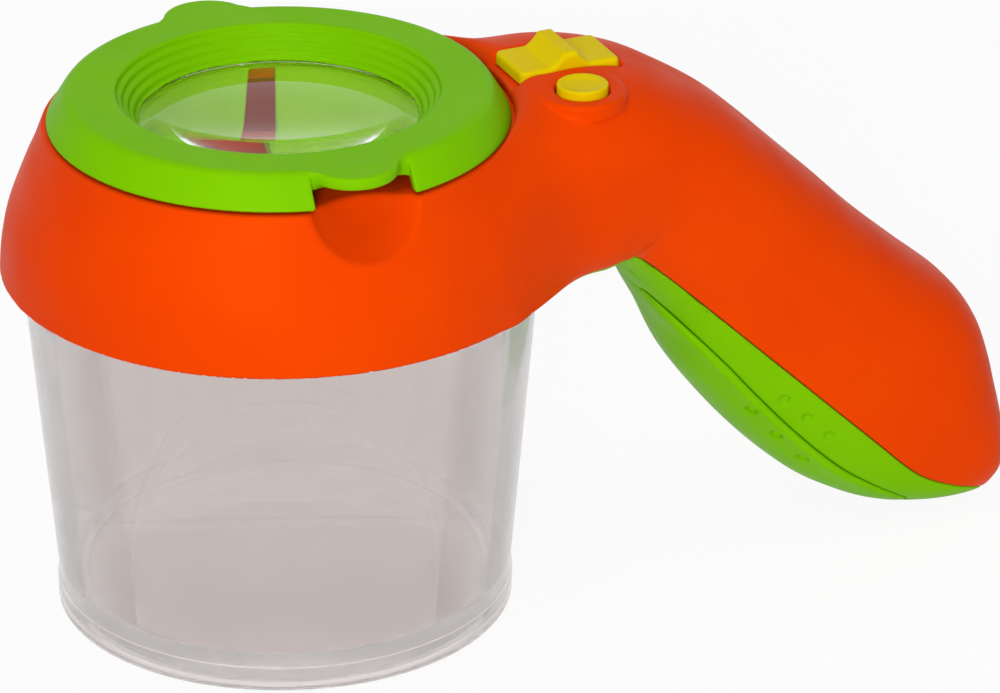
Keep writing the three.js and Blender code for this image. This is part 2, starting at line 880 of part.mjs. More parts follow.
// Convex lens: two faces of one curve, with a straight edge
const lensSag = lensCurve - Math.sqrt(lensCurve ** 2 - lensOpening ** 2);
const lensEdgeTop = seatHeight - gap;
const lensEdgeBottom = lensEdgeTop - lensEdge;

function lens() {
  const face = [];
  const steps = 3;
  for (let k = 0; k <= steps; k += 1) {
    const r = (lensOpening * k) / steps;
    face.push([r, lensSag - (lensCurve - Math.sqrt(lensCurve ** 2 - r ** 2))]);
  }
  const top = face.map(([r, z]) => [r, lensEdgeTop + z]);
  const bottom = face.map(([r, z]) => [r, lensEdgeBottom - z]).reverse();
  return solid(turned([...top, [lensRadius, lensEdgeTop], [lensRadius, lensEdgeBottom], ...bottom]));
}

// Retainer: a tapered skirt under the ring, with a ledge for the lens, tabs and one slot
function lensRetainer() {
  const top = seatHeight - gap;
  const bottom = top - retainerDepth;
  const ledge = lensEdgeBottom - gap;
  const bore = lensRadius + gap;
  const outerBottom = retainerRadius - retainerDraft;
  const skirt = solid(
    turned([
      [retainerRadius, top],
      [bore, top],
      [bore, ledge],
      [bore - retainerLedge, ledge],
      [bore - retainerLedge, ledge - ledgeThickness],
      [bore - 0.2, ledge - 1.6],
      [outerBottom - 1.4, bottom],
      [outerBottom, bottom],
    ]),
  );
  const half = retainerSlotWidth / 2;
  const slot = solid(
    block(0, far, -half, half, -far, ledge - 2),
    new THREE.Matrix4().makeRotationZ(retainerSlotAngle),
  );
  const gaps = Array.from({ length: retainerTabs }, (_, k) =>
    solid(
      block(bore - 1, far, -retainerTabGap / 2, retainerTabGap / 2, top - 1, far),
      new THREE.Matrix4().makeRotationZ((2 * Math.PI * (k + 0.5)) / retainerTabs),
    ),
  );
  return skirt.subtract(slot).subtract(joined(...gaps));
}

function hingePin() {
  const pin = new THREE.CylinderGeometry(hingePinRadius, hingePinRadius, hingePinLength, smallSteps);
  return solid(pin.rotateZ(Math.PI / 2));
}

// Slide switch: knob with a ridge and a forked stem, lever, and the switch's body
function slideKnob() {
  const slab = roundedRectangle(knobLength, knobWidth, knobCorner);
  const plate = solid(planSlab(slab, 0, knobThickness));
  const middle = (ridgeBase + ridgeTop) / 4;
  const [low, high] = [knobThickness - 0.4, knobThickness + ridgeHeight];
  const side = [
    [-ridgeBase / 2, low],
    [ridgeBase / 2, low],
    [ridgeBase / 2, knobThickness],
    [middle, knobThickness + ridgeHeight * 0.3],
    [ridgeTop / 2, high - 0.4],
    [ridgeTop / 4, high],
    [-ridgeTop / 4, high],
    [-ridgeTop / 2, high - 0.4],
    [-middle, knobThickness + ridgeHeight * 0.3],
    [-ridgeBase / 2, knobThickness],
  ];
  const ridge = solid(sideSlab(side, -knobWidth / 2, knobWidth / 2));
  const depth = knobBottom - stemBottom;
  const [a, b] = [stemLength / 2, stemWidth / 2];
  const stem = solid(block(-a, a, -b, b, -depth, 0.5));
  const grip = leverLength / 2 + gap;
  const fork = solid(block(-grip, grip, -far, far, -far, -gap));
  return joined(plate, ridge, stem.subtract(fork));
}

function switchLever() {
  const [a, b] = [leverLength / 2, leverWidth / 2];
  return solid(block(-a, a, -b, b, switchTop - 2.8, knobBottom - gap * 2));
}

function switchBody() {
  const [a, b] = [switchLength / 2, switchWidth / 2];
  const body = solid(block(-a, a, -b, b, switchTop - switchHeight, switchTop));
  const [side, end] = [leverWidth / 2 + gap, leverLength / 2 + gap];
  return body.subtract(solid(block(-end - knobTravel, end, -side, side, switchTop - 3.1, far)));
}

// Push button: dished cap with a flange below the housing, and the small switch under it
const plungerTop = boardTop + gap + tactHeight + buttonTravel + 0.1;

function pushButton() {
  const flangeTop = bossUnder - gap;
  const stem = plungerTop + gap;
  const foot = flangeTop - buttonFlange;
  return solid(
    turned(
      [
        [0, buttonTop - buttonDish],
        [buttonRadius * 0.5, buttonTop - buttonDish * 0.8],
        [buttonRadius * 0.8, buttonTop],
        [buttonRadius - 0.5, buttonTop],
        [buttonRadius, buttonTop - 0.5],
        [buttonRadius, flangeTop],
        [buttonRadius + buttonFlange, flangeTop],
        [buttonRadius + buttonFlange, foot],
        [plungerRadius + 0.8, foot],
        [plungerRadius + 0.8, stem],
        [0, stem],
      ],
      middleSteps,
    ),
  );
}

function buttonPlunger() {
  return solid(rod(plungerRadius, 0, 0, plungerTop - 2, plungerTop));
}

function buttonSwitch() {
  const half = tactSize / 2;
  const body = solid(block(-half, half, -half, half, boardTop + gap, boardTop + gap + tactHeight));
  return body.subtract(solid(rod(plungerRadius + gap, 0, 0, boardTop, far)));
}

// Circuit board under both switches, held by two screws
function circuitBoard() {
  const [under, side] = [boardTop - boardThickness, boardPostSides[1] + boardEdge];
  const waist = buttonX + tactSize / 2 + boardEdge;
  const board = joined(
    solid(block(buttonX - boardBack, waist, buttonY - boardBack, side, under, boardTop)),
    solid(block(waist - 0.5, boardPostX + boardEdge, boardPostSides[0] - boardEdge, side, under, boardTop)),
  );
  const holes = boardPostSides.map((y) =>
    solid(rod(boardScrewRadius + gap, boardPostX, y, boardTop - 4, boardTop + 1)),
  );
  return board.subtract(joined(...holes));
}

// Lamp: a round-nosed body in the head's wall, with two legs that reach up to the board
function lamp() {
  const nose = -3.2;
  const back = nose + lampLength;
  const legEnd = (boardTop - boardThickness - gap - lampZ) / Math.sin(lampTilt) - 0.6;
  const body = solid(
    turned(
      [
        [0, nose],
        [lampRadius * 0.6, nose + lampRadius * 0.2],
        [lampRadius * 0.92, nose + lampRadius * 0.6],
        [lampRadius, nose + lampRadius],
        [lampRadius, back],
        [0, back],
      ],
      smallSteps,
    ),
  );
  const legs = [-1, 1].map((side) => solid(rod(0.35, 0, side * 1.27, back - 0.5, legEnd, 8)));
  return joined(body, ...legs);
}

// Cell holder: a roof and four walls round the two cells, open towards the cover
const holderTop = ledgeTop + gap + holderWall;
const holderFoot = cellHeight;
const contactU = bayStart + holderWall + gap;
const bridgeU = bayEnd - holderWall - gap - contactThickness;

function cellHolder() {
  const half = cellSpacing / 2 + cellRadius + slip;
  const roof = holderTop - holderWall;
  const side = half + holderWall;
  const shell = joined(
    solid(block(bayStart, bayEnd, -side, side, holderFoot, holderTop)),
    solid(block(bayStart + 6, bayEnd - 6, -holderHalfWidth, holderHalfWidth, roof, holderTop)),
  );
  const bay = solid(block(bayStart + holderWall, bayEnd - holderWall, -half, half, -far, roof));
  const slots = [-1, 1].map((hand) => {
    const y = (hand * cellSpacing) / 2;
    return solid(block(contactU - gap, contactU + contactThickness + gap, y - 1.8, y + 1.8, roof - 1, far));
  });
  return shell.subtract(bay).subtract(joined(...slots));
}

function cell() {
  const barrel = cellLength - cellNub;
  return solid(
    turned(
      [
        [0, 0],
        [cellRadius - 0.5, 0],
        [cellRadius, 0.5],
        [cellRadius, barrel - 0.5],
        [cellRadius - 0.5, barrel],
        [cellNubRadius, barrel],
        [cellNubRadius, cellLength],
        [0, cellLength],
      ],
      middleSteps,
    ),
  );
}

function contactPlate(hand) {
  const y = (hand * cellSpacing) / 2;
  const [u0, u1] = [contactU, contactU + contactThickness];
  return joined(
    solid(block(u0, u1, y - 4.2, y + 4.2, cellHeight - 3.6, cellHeight + 4.4)),
    solid(block(u0, u1, y - 1.4, y + 1.4, cellHeight, holderTop + 2.4)),
  );
}

function contactBridge() {
  const half = cellSpacing / 2 + 4.2;
  const [u0, u1] = [bridgeU, bridgeU + contactThickness];
  return solid(block(u0, u1, -half, half, cellHeight - 3.6, cellHeight + 4.4));
}

// Conical coil: the turns close in as they rise, so that they nest
class ConeCoil extends THREE.Curve {
  getPoint(t, target = new THREE.Vector3()) {
    const angle = 2 * Math.PI * springTurns * t;
    const radius = springWide + (springNarrow - springWide) * t;
    const height = springWire / 2 + (springLength - springWire) * t;
    return target.set(radius * Math.cos(angle), radius * Math.sin(angle), height);
  }
}

function tube(curve, radius, sides, steps) {
  const ring = Array.from({ length: sides }, (_, k) => {
    const angle = (2 * Math.PI * k) / sides;
    return [radius * Math.cos(angle), radius * Math.sin(angle)];
  });
  const options = { steps, extrudePath: curve, bevelEnabled: false };
  return solid(new THREE.ExtrudeGeometry(outline(ring), options));
}

function cellSpring() {
  return tube(new ConeCoil(), springWire / 2, 5, springTurns * 10);
}

// Leads from the contacts' tabs up through the grip to the circuit board, on a route chosen by hand
function lead(hand) {
  const y = (hand * cellSpacing) / 2;
  const tab = gripPoint(contactU + contactThickness / 2, holderTop + 2.4 + gap);
  const under = boardTop - boardThickness - gap;
  const route = [
    [tab[0], y, tab[1]],
    [tab[0] + 1.6, y, tab[1] + 1.7],
    [tab[0] + 2.6, y * 0.9, tab[1] + 7],
    [tab[0] - 1, y * 0.7, tab[1] + 16],
    [tab[0] - 9, y * 0.6, tab[1] + 26],
    [boardPostX - 5.6, y * 0.6, under - 5],
    [boardPostX - 7.4, y * 0.6, under - 1.6],
    [boardPostX - 7.4, y * 0.6, under],
  ];
  const curve = new THREE.CatmullRomCurve3(route.map((p) => new THREE.Vector3(...p)));
  return tube(curve, leadRadius, 6, 16);
}

// Assembly
const box = new THREE.Group();
const lidGroup = new THREE.Group();
lidGroup.rotation.z = lidTurn;
const gripGroup = new THREE.Group();
gripGroup.position.set(gripX, 0, gripZ);
gripGroup.rotation.y = gripSlope;
const switchGroup = new THREE.Group();
switchGroup.position.set(knobX, knobY, 0);
switchGroup.rotation.z = knobTurn;
box.add(lidGroup, gripGroup, switchGroup);

box.add(piece("cup", cup(), clear));
box.add(piece("housing_top", housingTop(), orange));
box.add(piece("handle_lower_shell", lowerShell(), green));
box.add(piece("battery_cover", batteryCover(), green));

lidGroup.add(piece("lens_ring", lensRing(), green));
lidGroup.add(piece("lens", lens(), clear));
lidGroup.add(piece("lens_retainer", lensRetainer(), green));
const pin = piece("lid_hinge_pin", hingePin(), steel);
pin.position.set(0, hingeRadius, hingeHeight);
lidGroup.add(pin);

for (const place of caseScrews) {
  const body = screw(caseScrewRadius, caseScrewHead, caseScrewLength);
  const fastener = piece(place.name, body, steel);
  fastener.position.set(place.along, place.side, screwSeatTop(place) - gap);
  gripGroup.add(fastener);
}
const coverScrew = piece(
  "battery_cover_screw",
  screw(caseScrewRadius, caseScrewHead, caseScrewLength * 0.6),
  steel,
);
coverScrew.position.set(coverScrewAlong, 0, coverHeadSeat - gap);
gripGroup.add(coverScrew);

const knob = piece("slide_knob", slideKnob(), yellow);
knob.position.z = knobBottom;
switchGroup.add(knob);
switchGroup.add(piece("switch_lever", switchLever(), black));
switchGroup.add(piece("slide_switch", switchBody(), black));

for (const [name, body, material] of [
  ["push_button", pushButton(), yellow],
  ["button_plunger", buttonPlunger(), black],
  ["button_switch", buttonSwitch(), black],
]) {
  const part = piece(name, body, material);
  part.position.set(buttonX, buttonY, 0);
  box.add(part);
}

box.add(piece("circuit_board", circuitBoard(), boardGreen));
boardPostSides.forEach((y, k) => {
  const fastener = piece(
    `board_screw_${k + 1}`,
    screw(boardScrewRadius, boardScrewHead, boardScrewLength),
    steel,
  );
  fastener.position.set(boardPostX, y, boardTop - boardThickness - gap);
  box.add(fastener);
});
const bulb = piece("lamp", lamp(), clear);
bulb.applyMatrix4(lampFrame);
box.add(bulb);

gripGroup.add(piece("battery_holder", cellHolder(), black));
[1, -1].forEach((hand, k) => {
  const y = (hand * cellSpacing) / 2;
  const letter = "ab"[k];
  const body = piece(`battery_${letter}`, cell(), cellJacket);
  const start = contactU + contactThickness + gap;
  const end = bridgeU - gap;
  body.position.set(hand > 0 ? end - cellLength : start + cellLength, y, cellHeight);
  body.rotation.y = (hand * Math.PI) / 2;
  const spring = piece(`battery_spring_${letter}`, cellSpring(), steel);
  spring.position.set(hand > 0 ? start : end, y, cellHeight);
  spring.rotation.y = (hand * Math.PI) / 2;
  const plate = piece(`battery_contact_${letter}`, contactPlate(hand), brass);
  gripGroup.add(body, spring, plate);
  box.add(piece(`battery_lead_${letter}`, lead(hand), k ? black : redLead));
});
gripGroup.add(piece("battery_contact_bridge", contactBridge(), brass));

export default box;
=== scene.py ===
import math

import bpy
import numpy as np
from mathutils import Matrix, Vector


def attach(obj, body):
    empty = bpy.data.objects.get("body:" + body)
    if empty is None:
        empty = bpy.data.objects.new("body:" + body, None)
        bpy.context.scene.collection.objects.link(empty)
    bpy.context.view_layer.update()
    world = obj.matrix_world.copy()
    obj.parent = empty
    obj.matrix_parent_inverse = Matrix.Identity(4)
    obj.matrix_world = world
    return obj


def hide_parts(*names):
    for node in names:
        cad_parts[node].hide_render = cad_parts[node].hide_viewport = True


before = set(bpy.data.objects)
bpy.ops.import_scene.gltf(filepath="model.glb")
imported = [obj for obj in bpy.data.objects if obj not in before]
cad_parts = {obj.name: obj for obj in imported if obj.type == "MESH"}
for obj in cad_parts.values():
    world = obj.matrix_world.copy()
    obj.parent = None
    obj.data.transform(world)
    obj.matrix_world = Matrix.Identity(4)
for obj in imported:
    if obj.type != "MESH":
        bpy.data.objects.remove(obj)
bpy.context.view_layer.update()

# Lengths here are millimetres, as in the CAD. A mesh is turned into metres when it is made.
# Forms are signed fields, negative inside. A mesh is laid on the zero of its field.

MM = 0.001

# Walls and clearances
WALL = 2.2
SEAM_GAP = 0.1
COVER_GAP = 0.05
PART_GAP = 0.3
# Past the end of anything that a rod or a slot is cut through
FAR = 60.0

# Cup
CUP_FOOT_RADIUS = 41.25
CUP_FOOT_HEIGHT = 4.5
CUP_FOOT_STEP = 0.45
CUP_RIM_RADIUS = 47.0
CUP_HEIGHT = 74.0
CUP_WALL = 1.8
CUP_FLOOR = 6.5

# Head
RIM_RADIUS = 50.0
RIM_HEIGHT = 65.4
SHOULDER_RADIUS = 41.9
DECK = 92.5
HEAD_CURVE = [
    (0, 0), (0.05, 0.17), (0.16, 0.35), (0.31, 0.49), (0.59, 0.7), (0.77, 0.82), (0.91, 0.93), (1, 1),
]
CUP_BORE = 47.4
CUP_SEAT = 74.3
LID_POCKET = 41.75
COLLAR_TOP = 94.4
COLLAR_SLOPE = 0.75
THROAT_INSIDE = 29.6
THROAT_OUTSIDE = 31.6
THROAT_BOTTOM = 81.5
DIMPLE_RADIUS = 13.3
DIMPLE_REACH = 48.3
DIMPLE_HEIGHT = 96.5
DIMPLE_WALL = 1.8
# How softly the neck runs into the head
HEAD_BLEND = 10.0

# Lens lid, in its own frame with the tab at -Y
LID_TURN = math.radians(3)
SKIRT_RADIUS = 41.3
LID_TOP_RADIUS = 37.6
LID_TOP = 98.7
SKIRT_BOTTOM = 92.8
FUNNEL_RADIUS = 28.7
LENS_OPENING = 24.4
FUNNEL_STEPS = 4
FUNNEL_DEPTH = 5.2
LENS_SEAT = 93.0
NOTCH_LEFT = 8.7
NOTCH_RIGHT = 9.8
TAB_RADIUS = 8.0
TAB_CENTRE = 35.0
HINGE_REACH = 40.0
HINGE_HEIGHT = 94.9
BARREL_RADIUS = 2.9
BARREL_HALF = 4.5
EAR_RADIUS = 1.9
EAR_THICKNESS = 2.4
PIN_ROOM = 1.2
PIN_REACH = 20.0
BARREL_ROOM = 0.6
BARREL_END_ROOM = 0.25
LENS_RADIUS = 26.0
LENS_CURVE = 100.0
LENS_EDGE = 2.0
RETAINER_RADIUS = 28.4
RETAINER_DRAFT = 1.8
RETAINER_BOTTOM = 78.0
RETAINER_SLOT = 4.6
RETAINER_SLOT_ANGLE = math.radians(75)
RETAINER_TABS = 14
RETAINER_TAB_GAP = 2.0

# Neck and grip. The grip frame starts on the grip's axis and slopes down from it.
GRIP_SLOPE = math.radians(44)
GRIP_X = 67.4
GRIP_Z = 69.8
CROWN_POWER = 2.7
BELLY_POWER = 2.5
# Top x and z, underside x and z, half width, squareness below
NECK_ROWS = [
    (10, 87.0, 16, 66.4, 30, 5), (22, 89.0, 28, 66.2, 34, 5), (28, 91.5, 32, 66.1, 33, 5),
    (34, 93.4, 34, 66.0, 31.4, 5), (38, 94.8, 38, 65.8, 29.8, 5), (42, 95.5, 42, 65.3, 28.4, 5),
    (47, 96.6, 46.5, 64.2, 27.2, 5), (53, 97.0, 50.5, 62.6, 26.2, 4.5), (60, 96.3, 53.6, 61.2, 25, 4),
    (67.5, 94.1, 55.6, 60.5, 23.8, 3.4), (74.8, 90.2, 56.9, 60.2, 22.7, 3),
]
# Distance along the grip, top, underside, half width
GRIP_ROWS = [
    (0, 21.5, -13.3, 22), (8, 21.9, -13.8, 21.4), (17, 21.9, -15.7, 20.9), (28, 21.9, -19.9, 20.5),
    (40, 21.7, -22.1, 20.3), (52, 22.2, -23.0, 20.2), (63, 22.8, -22.6, 20), (70, 21.4, -21.3, 19.6),
    (76, 18.4, -19.5, 18.9), (81, 15.2, -17, 18), (86, 11.9, -13.3, 16.9), (90.5, 8.5, -9.1, 14.9),
    (94, 5.1, -5.5, 11.6), (96, 2.4, -2.3, 6.6), (96.8, 0.6, -0.3, 0.8),
]
NECK_SEAM = [(20, 64.4), (30, 64.4), (53.5, 64.3), (57.3, 64.7)]
GRIP_SEAM = [
    (-0.7, -9.4), (3.4, -8.3), (22, -7.9), (60, -7.9), (73, -8), (78, -7.6), (82, -6.6), (87, -4.8),
    (92, -2.9), (100, -1.4), (120, -0.6),
]
COVER_EDGE = [
    (0, -13.4), (16, -13.3), (28.7, -13.9), (39.2, -15), (51, -15.9), (62.4, -16), (70.7, -15), (84, -12.2),
]
COVER_START = 10.5
COVER_FADE_IN = 7.0
COVER_END = 82.2
COVER_WALL = 1.8
COVER_PROUD = 0.6
COVER_BEAD = 0.5
COVER_FADE_START = 62.0
COVER_SCREW = 77.7
# Small grip dimples: distance along the grip and height in the grip frame
FLANK_DIMPLES = [(43.3, -12.3), (49.7, -12.3), (56.0, -12.4)]
PANEL_DIMPLES = [(41.3, -17.3), (49.1, -18.1), (57.1, -18.5)]
GRIP_DIMPLE_RADIUS = 1.25
GRIP_DIMPLE_DEPTH = 0.75
TIP_SCREW = 87.5
NECK_SCREW = 6.5
NECK_SCREW_SIDE = 8.5
SHANK_BORE = 1.5
HEAD_BORE = 2.9
UPPER_POST = 3.4
LOWER_POST = 4.8
COVER_POST = 4.1
# Heights in the grip frame: where the posts of the two shells meet, and where bores and screw heads end
POST_GAP = 0.4
NECK_JOINT = -7.6
TIP_JOINT = -4.2
UPPER_BORE_START = -30.0
NECK_BORE_TOP = 3.4
TIP_BORE_TOP = 6.6
NECK_HEAD_BOTTOM = -11.3
NECK_HEAD_TOP = -9.8
TIP_HEAD_TOP = -6.4
COVER_POST_TOP = -12.7
COVER_HEAD_TOP = -14.7

# Slide knob and push button
KNOB_X = 52.8
KNOB_Y = 1.0
KNOB_TURN = math.radians(4)
KNOB_LENGTH = 19.4
KNOB_WIDTH = 12.3
KNOB_THICKNESS = 2.4
KNOB_BOTTOM = 94.6
KNOB_TRAVEL = 2.0
KNOB_CORNER = 1.3
KNOB_ROOM = 0.5
STEM_HALF_LENGTH = 2.6
STEM_HALF_WIDTH = 1.6
STEM_DROP = 2.3
TRAY_LOW = (-14.4, -8.6, 92.4)
TRAY_HIGH = (12.4, 8.6, 96.2)
RIDGE_HEIGHT = 2.5
RIDGE_BASE = 8.4
RIDGE_TOP = 2.4
BUTTON_X = 52.2
BUTTON_Y = -13.4
BUTTON_RADIUS = 4.6
BUTTON_TOP = 97.2
BUTTON_FLANGE = 1.0
FLANGE_ROOM = 6.0
BOSS_RADIUS = 8.0
BOSS_TOP = 95.9
BOSS_UNDER = 93.0
BOARD_TOP = 87.6

# The image that the camera is set for
IMAGE_WIDTH = 1000
CAMERA_PIXELS = 7000
CAMERA_AZIMUTH = math.radians(-20)
CAMERA_ELEVATION = math.radians(25.4)
CAMERA_DISTANCE = 1.2546
AIM_RIGHT = 0.03904
AIM_UP = 0.04806
SENSOR = 36.0

# Studio, in metres and watts
FLOOR_HALF = 3.0
FLOOR_DROP = 0.0003
FLOOR_GREY = 0.9
FLOOR_WHITE_SHARE = 0.92
WORLD_LIGHT = 0.29
# Name, place, aim, width and power
LIGHTS = [
    ("key", (-0.6, -1.2, 0.55), (0.02, 0, 0.06), 0.4, 11),
    ("top", (-0.1, -0.1, 1.1), (0.03, 0, 0.06), 0.7, 3.5),
    ("fill", (0.9, -0.9, 0.35), (0.06, 0, 0.05), 0.8, 1.2),
]


# Numbers

def smooth_min(a, b, blend):
    share = np.clip(0.5 + 0.5 * (b - a) / blend, 0, 1)
    return b + (a - b) * share - blend * share * (1 - share)


def smooth_max(a, b, blend):
    return -smooth_min(-a, -b, blend)


def catmull(points, steps):
    """A smooth line through the points, with steps parts between each two."""
    rows = np.array(points, float)
    ends = np.vstack([2 * rows[0] - rows[1], rows, 2 * rows[-1] - rows[-2]])
    out = []
    for k in range(len(rows) - 1):
        a, b, c, d = ends[k:k + 4]
        for t in np.arange(steps) / steps:
            out.append(0.5 * (2 * b + (c - a) * t + (2 * a - 5 * b + 4 * c - d) * t**2
                              + (3 * b - a - 3 * c + d) * t**3))
    return np.array(out + [rows[-1]])


def polygon_field(points, a, b):
    """Signed distance from a and b to a closed outline, negative inside."""
    near = np.full(np.broadcast(a, b).shape, 1e9)
    inside = np.zeros(near.shape, bool)
    for (ax, bx), (ay, by) in zip(points, np.roll(points, -1, axis=0)):
        ex, ey = ay - ax, by - bx
        t = np.clip(((a - ax) * ex + (b - bx) * ey) / max(ex * ex + ey * ey, 1e-12), 0, 1)
        near = np.minimum(near, (a - ax - t * ex) ** 2 + (b - bx - t * ey) ** 2)
        if ey:
            inside ^= ((bx > b) != (by > b)) & (a < ex * (b - bx) / ey + ax)
    return np.where(inside, -1, 1) * np.sqrt(near)


class Chart:
    """Values on a flat grid, read back smoothly between its points."""

    def __init__(self, low, high, step, values):
        self.low, self.step = low, step
        a = np.arange(low[0], high[0] + step, step)[:, None]
        b = np.arange(low[1], high[1] + step, step)[None, :]
        self.values = values(a, b)

    def __call__(self, a, b):
        first, second = (a - self.low[0]) / self.step, (b - self.low[1]) / self.step
        counts = self.values.shape
        i = np.clip(np.rint(first).astype(int), 1, counts[0] - 2)
        j = np.clip(np.rint(second).astype(int), 1, counts[1] - 2)
        u, v = np.clip(first - i, -0.5, 0.5), np.clip(second - j, -0.5, 0.5)
        across = (0.5 * (0.5 - u) ** 2, 0.75 - u * u, 0.5 * (0.5 + u) ** 2)
        along = (0.5 * (0.5 - v) ** 2, 0.75 - v * v, 0.5 * (0.5 + v) ** 2)
        total = 0.0
        for di in range(3):
            for dj in range(3):
                total = total + self.values[i + di - 1, j + dj - 1] * across[di] * along[dj]
        return total


def outline_chart(points, low, high, step=0.25, softened=0):
    """A closed outline as a chart, with its corners softened by so many passes."""
    outline = np.array(points, float)
    chart = Chart(low, high, step, lambda a, b: polygon_field(outline, a, b))
    for _ in range(softened):
        v = chart.values
        v[1:-1] = (v[:-2] + 2 * v[1:-1] + v[2:]) / 4
        v[:, 1:-1] = (v[:, :-2] + 2 * v[:, 1:-1] + v[:, 2:]) / 4
    return chart


def turned_about_z(x, y, angle, centre=(0, 0)):
    """Coordinates in a frame that is turned about Z by the angle."""
    dx, dy = x - centre[0], y - centre[1]
    return dx * math.cos(angle) + dy * math.sin(angle), dy * math.cos(angle) - dx * math.sin(angle)


def grip_point(along, across):
    c, s = math.cos(GRIP_SLOPE), math.sin(GRIP_SLOPE)
    return GRIP_X + along * c + across * s, GRIP_Z - along * s + across * c


def in_grip(x, z):
    c, s = math.cos(GRIP_SLOPE), math.sin(GRIP_SLOPE)
    return (x - GRIP_X) * c - (z - GRIP_Z) * s, (x - GRIP_X) * s + (z - GRIP_Z) * c


def box_field(x, y, z, low, high, rounding=0.4):
    centre = [(a + b) / 2 for a, b in zip(low, high)]
    half = [(b - a) / 2 - rounding for a, b in zip(low, high)]
    d = [np.abs(p - c) - h for p, c, h in zip((x, y, z), centre, half)]
    outside = np.sqrt(sum(np.maximum(q, 0) ** 2 for q in d))
    return outside + np.minimum(np.maximum(np.maximum(d[0], d[1]), d[2]), 0) - rounding


# Neck and grip. For each point of the side view the charts hold the cross-section through it.

def handle_sections(steps=16):
    rows = [tuple(map(float, row)) for row in NECK_ROWS]
    for along, top, bottom, half in GRIP_ROWS:
        rows.append((*grip_point(along, top), *grip_point(along, bottom), half, BELLY_POWER))
    return catmull(rows, steps)


def handle_values(x, z):
    """Height share, half width, half height, belly power and place along the handle at each point."""
    rows = handle_sections()
    top, bottom, half, power = rows[:, 0:2], rows[:, 2:4], rows[:, 4], rows[:, 5]
    centre = (top + bottom) / 2
    up = top - bottom
    tall = np.linalg.norm(up, axis=1)
    up = up / tall[:, None]
    tall = tall / 2
    xs, zs = np.broadcast_arrays(x, z)
    flat = np.stack([xs.ravel(), zs.ravel()], 1)
    found = np.zeros((5, len(flat)))
    for start in range(0, len(flat), 8000):
        part = flat[start:start + 8000]
        dx = part[:, None, 0] - centre[None, :, 0]
        dz = part[:, None, 1] - centre[None, :, 1]
        side = up[None, :, 0] * dz - up[None, :, 1] * dx
        lift = up[None, :, 0] * dx + up[None, :, 1] * dz
        turn = side[:, :-1] * side[:, 1:] <= 0
        reach = np.where(turn, np.abs(lift[:, :-1]), 1e6 + np.abs(side[:, :-1]) + 0.2 * np.abs(lift[:, :-1]))
        k = reach.argmin(1)
        n = np.arange(len(part))
        s0, s1 = side[n, k], side[n, k + 1]
        t = np.where(turn[n, k], s0 / np.where(s0 == s1, 1, s0 - s1), (k > len(centre) / 2) * 1.0)

        def mix(values):
            return values[k] * (1 - t) + values[k + 1] * t

        tall_here = mix(tall)
        lift_here = lift[n, k] * (1 - t) + lift[n, k + 1] * t
        beyond = np.where(turn[n, k], 0, np.abs(np.where(t > 0.5, s1, s0)))
        found[0, start:start + 8000] = np.clip(lift_here / tall_here, -3, 3)
        found[1, start:start + 8000] = mix(half)
        found[2, start:start + 8000] = tall_here
        found[3, start:start + 8000] = mix(power)
        found[4, start:start + 8000] = beyond
    return found.reshape(5, *xs.shape)


SIDE_LOW = (8.0, -6.0)
SIDE_HIGH = (150.0, 106.0)
SIDE_STEP = 0.5


def handle_charts():
    x = np.arange(SIDE_LOW[0], SIDE_HIGH[0] + SIDE_STEP, SIDE_STEP)[:, None]
    z = np.arange(SIDE_LOW[1], SIDE_HIGH[1] + SIDE_STEP, SIDE_STEP)[None, :]
    values = handle_values(x, z)
    return [Chart(SIDE_LOW, SIDE_HIGH, SIDE_STEP, lambda a, b, v=v: v) for v in values]


height_share, half_width, half_height, belly_power, past_end = handle_charts()


def handle_field(x, y, z, inset=0.0):
    """The neck and grip, drawn in by an inset. Distances are close to true near the surface."""
    share, wide, tall = height_share(x, z), half_width(x, z), half_height(x, z)
    power = np.where(share > 0, CROWN_POWER, belly_power(x, z))
    flat = np.abs(y) / np.maximum(wide - inset, 0.5)
    lift = np.abs(share) * tall / np.maximum(tall - inset, 0.5)
    size = (flat**power + lift**power + 1e-9) ** (1 / power)
    slope = np.sqrt((flat / size) ** (2 * power - 2) / np.maximum(wide - inset, 0.5) ** 2
                    + (lift / size) ** (2 * power - 2) / np.maximum(tall - inset, 0.5) ** 2)
    beyond = past_end(x, z) + np.maximum(SIDE_LOW[0] - x, 0) + inset * 0.4
    form = (size - 1) / np.maximum(slope, 0.02)
    return np.where(past_end(x, z) > 0.01, np.maximum(form, 0) + beyond, form)


def side_outline(points, drop=60.0):
    """The region under a line in the side view."""
    line = np.array(points)
    return np.vstack([line, [line[-1][0], -drop], [line[0][0], -drop]])


seam_line = np.vstack([
    catmull(NECK_SEAM, 6)[:-1],
    catmull([NECK_SEAM[-1], *[grip_point(*p) for p in GRIP_SEAM]], 8),
])
under_seam = outline_chart(side_outline(seam_line), SIDE_LOW, SIDE_HIGH, SIDE_STEP)


def cover_outline():
    line = [p for p in catmull(COVER_EDGE, 8) if COVER_START < p[0] < COVER_END]
    line = [(COVER_START, line[0][1]), *line, (COVER_END, line[-1][1])]
    ends = [(COVER_END, -80.0), (COVER_START, -80.0)]
    return [grip_point(*p) for p in [*line, *ends]]


under_cover = outline_chart(cover_outline(), SIDE_LOW, SIDE_HIGH, SIDE_STEP)

# Head outlines in radius and height
head_line = [
    (RIM_RADIUS - (RIM_RADIUS - SHOULDER_RADIUS) * inwards, RIM_HEIGHT + (DECK - RIM_HEIGHT) * upwards)
    for inwards, upwards in HEAD_CURVE
]
HEAD_LOW = (-3.0, 54.0)
HEAD_HIGH = (62.0, 110.0)
head_outer = outline_chart(
    [(-10, RIM_HEIGHT), *catmull(head_line, 6), (-10, DECK)], HEAD_LOW, HEAD_HIGH)
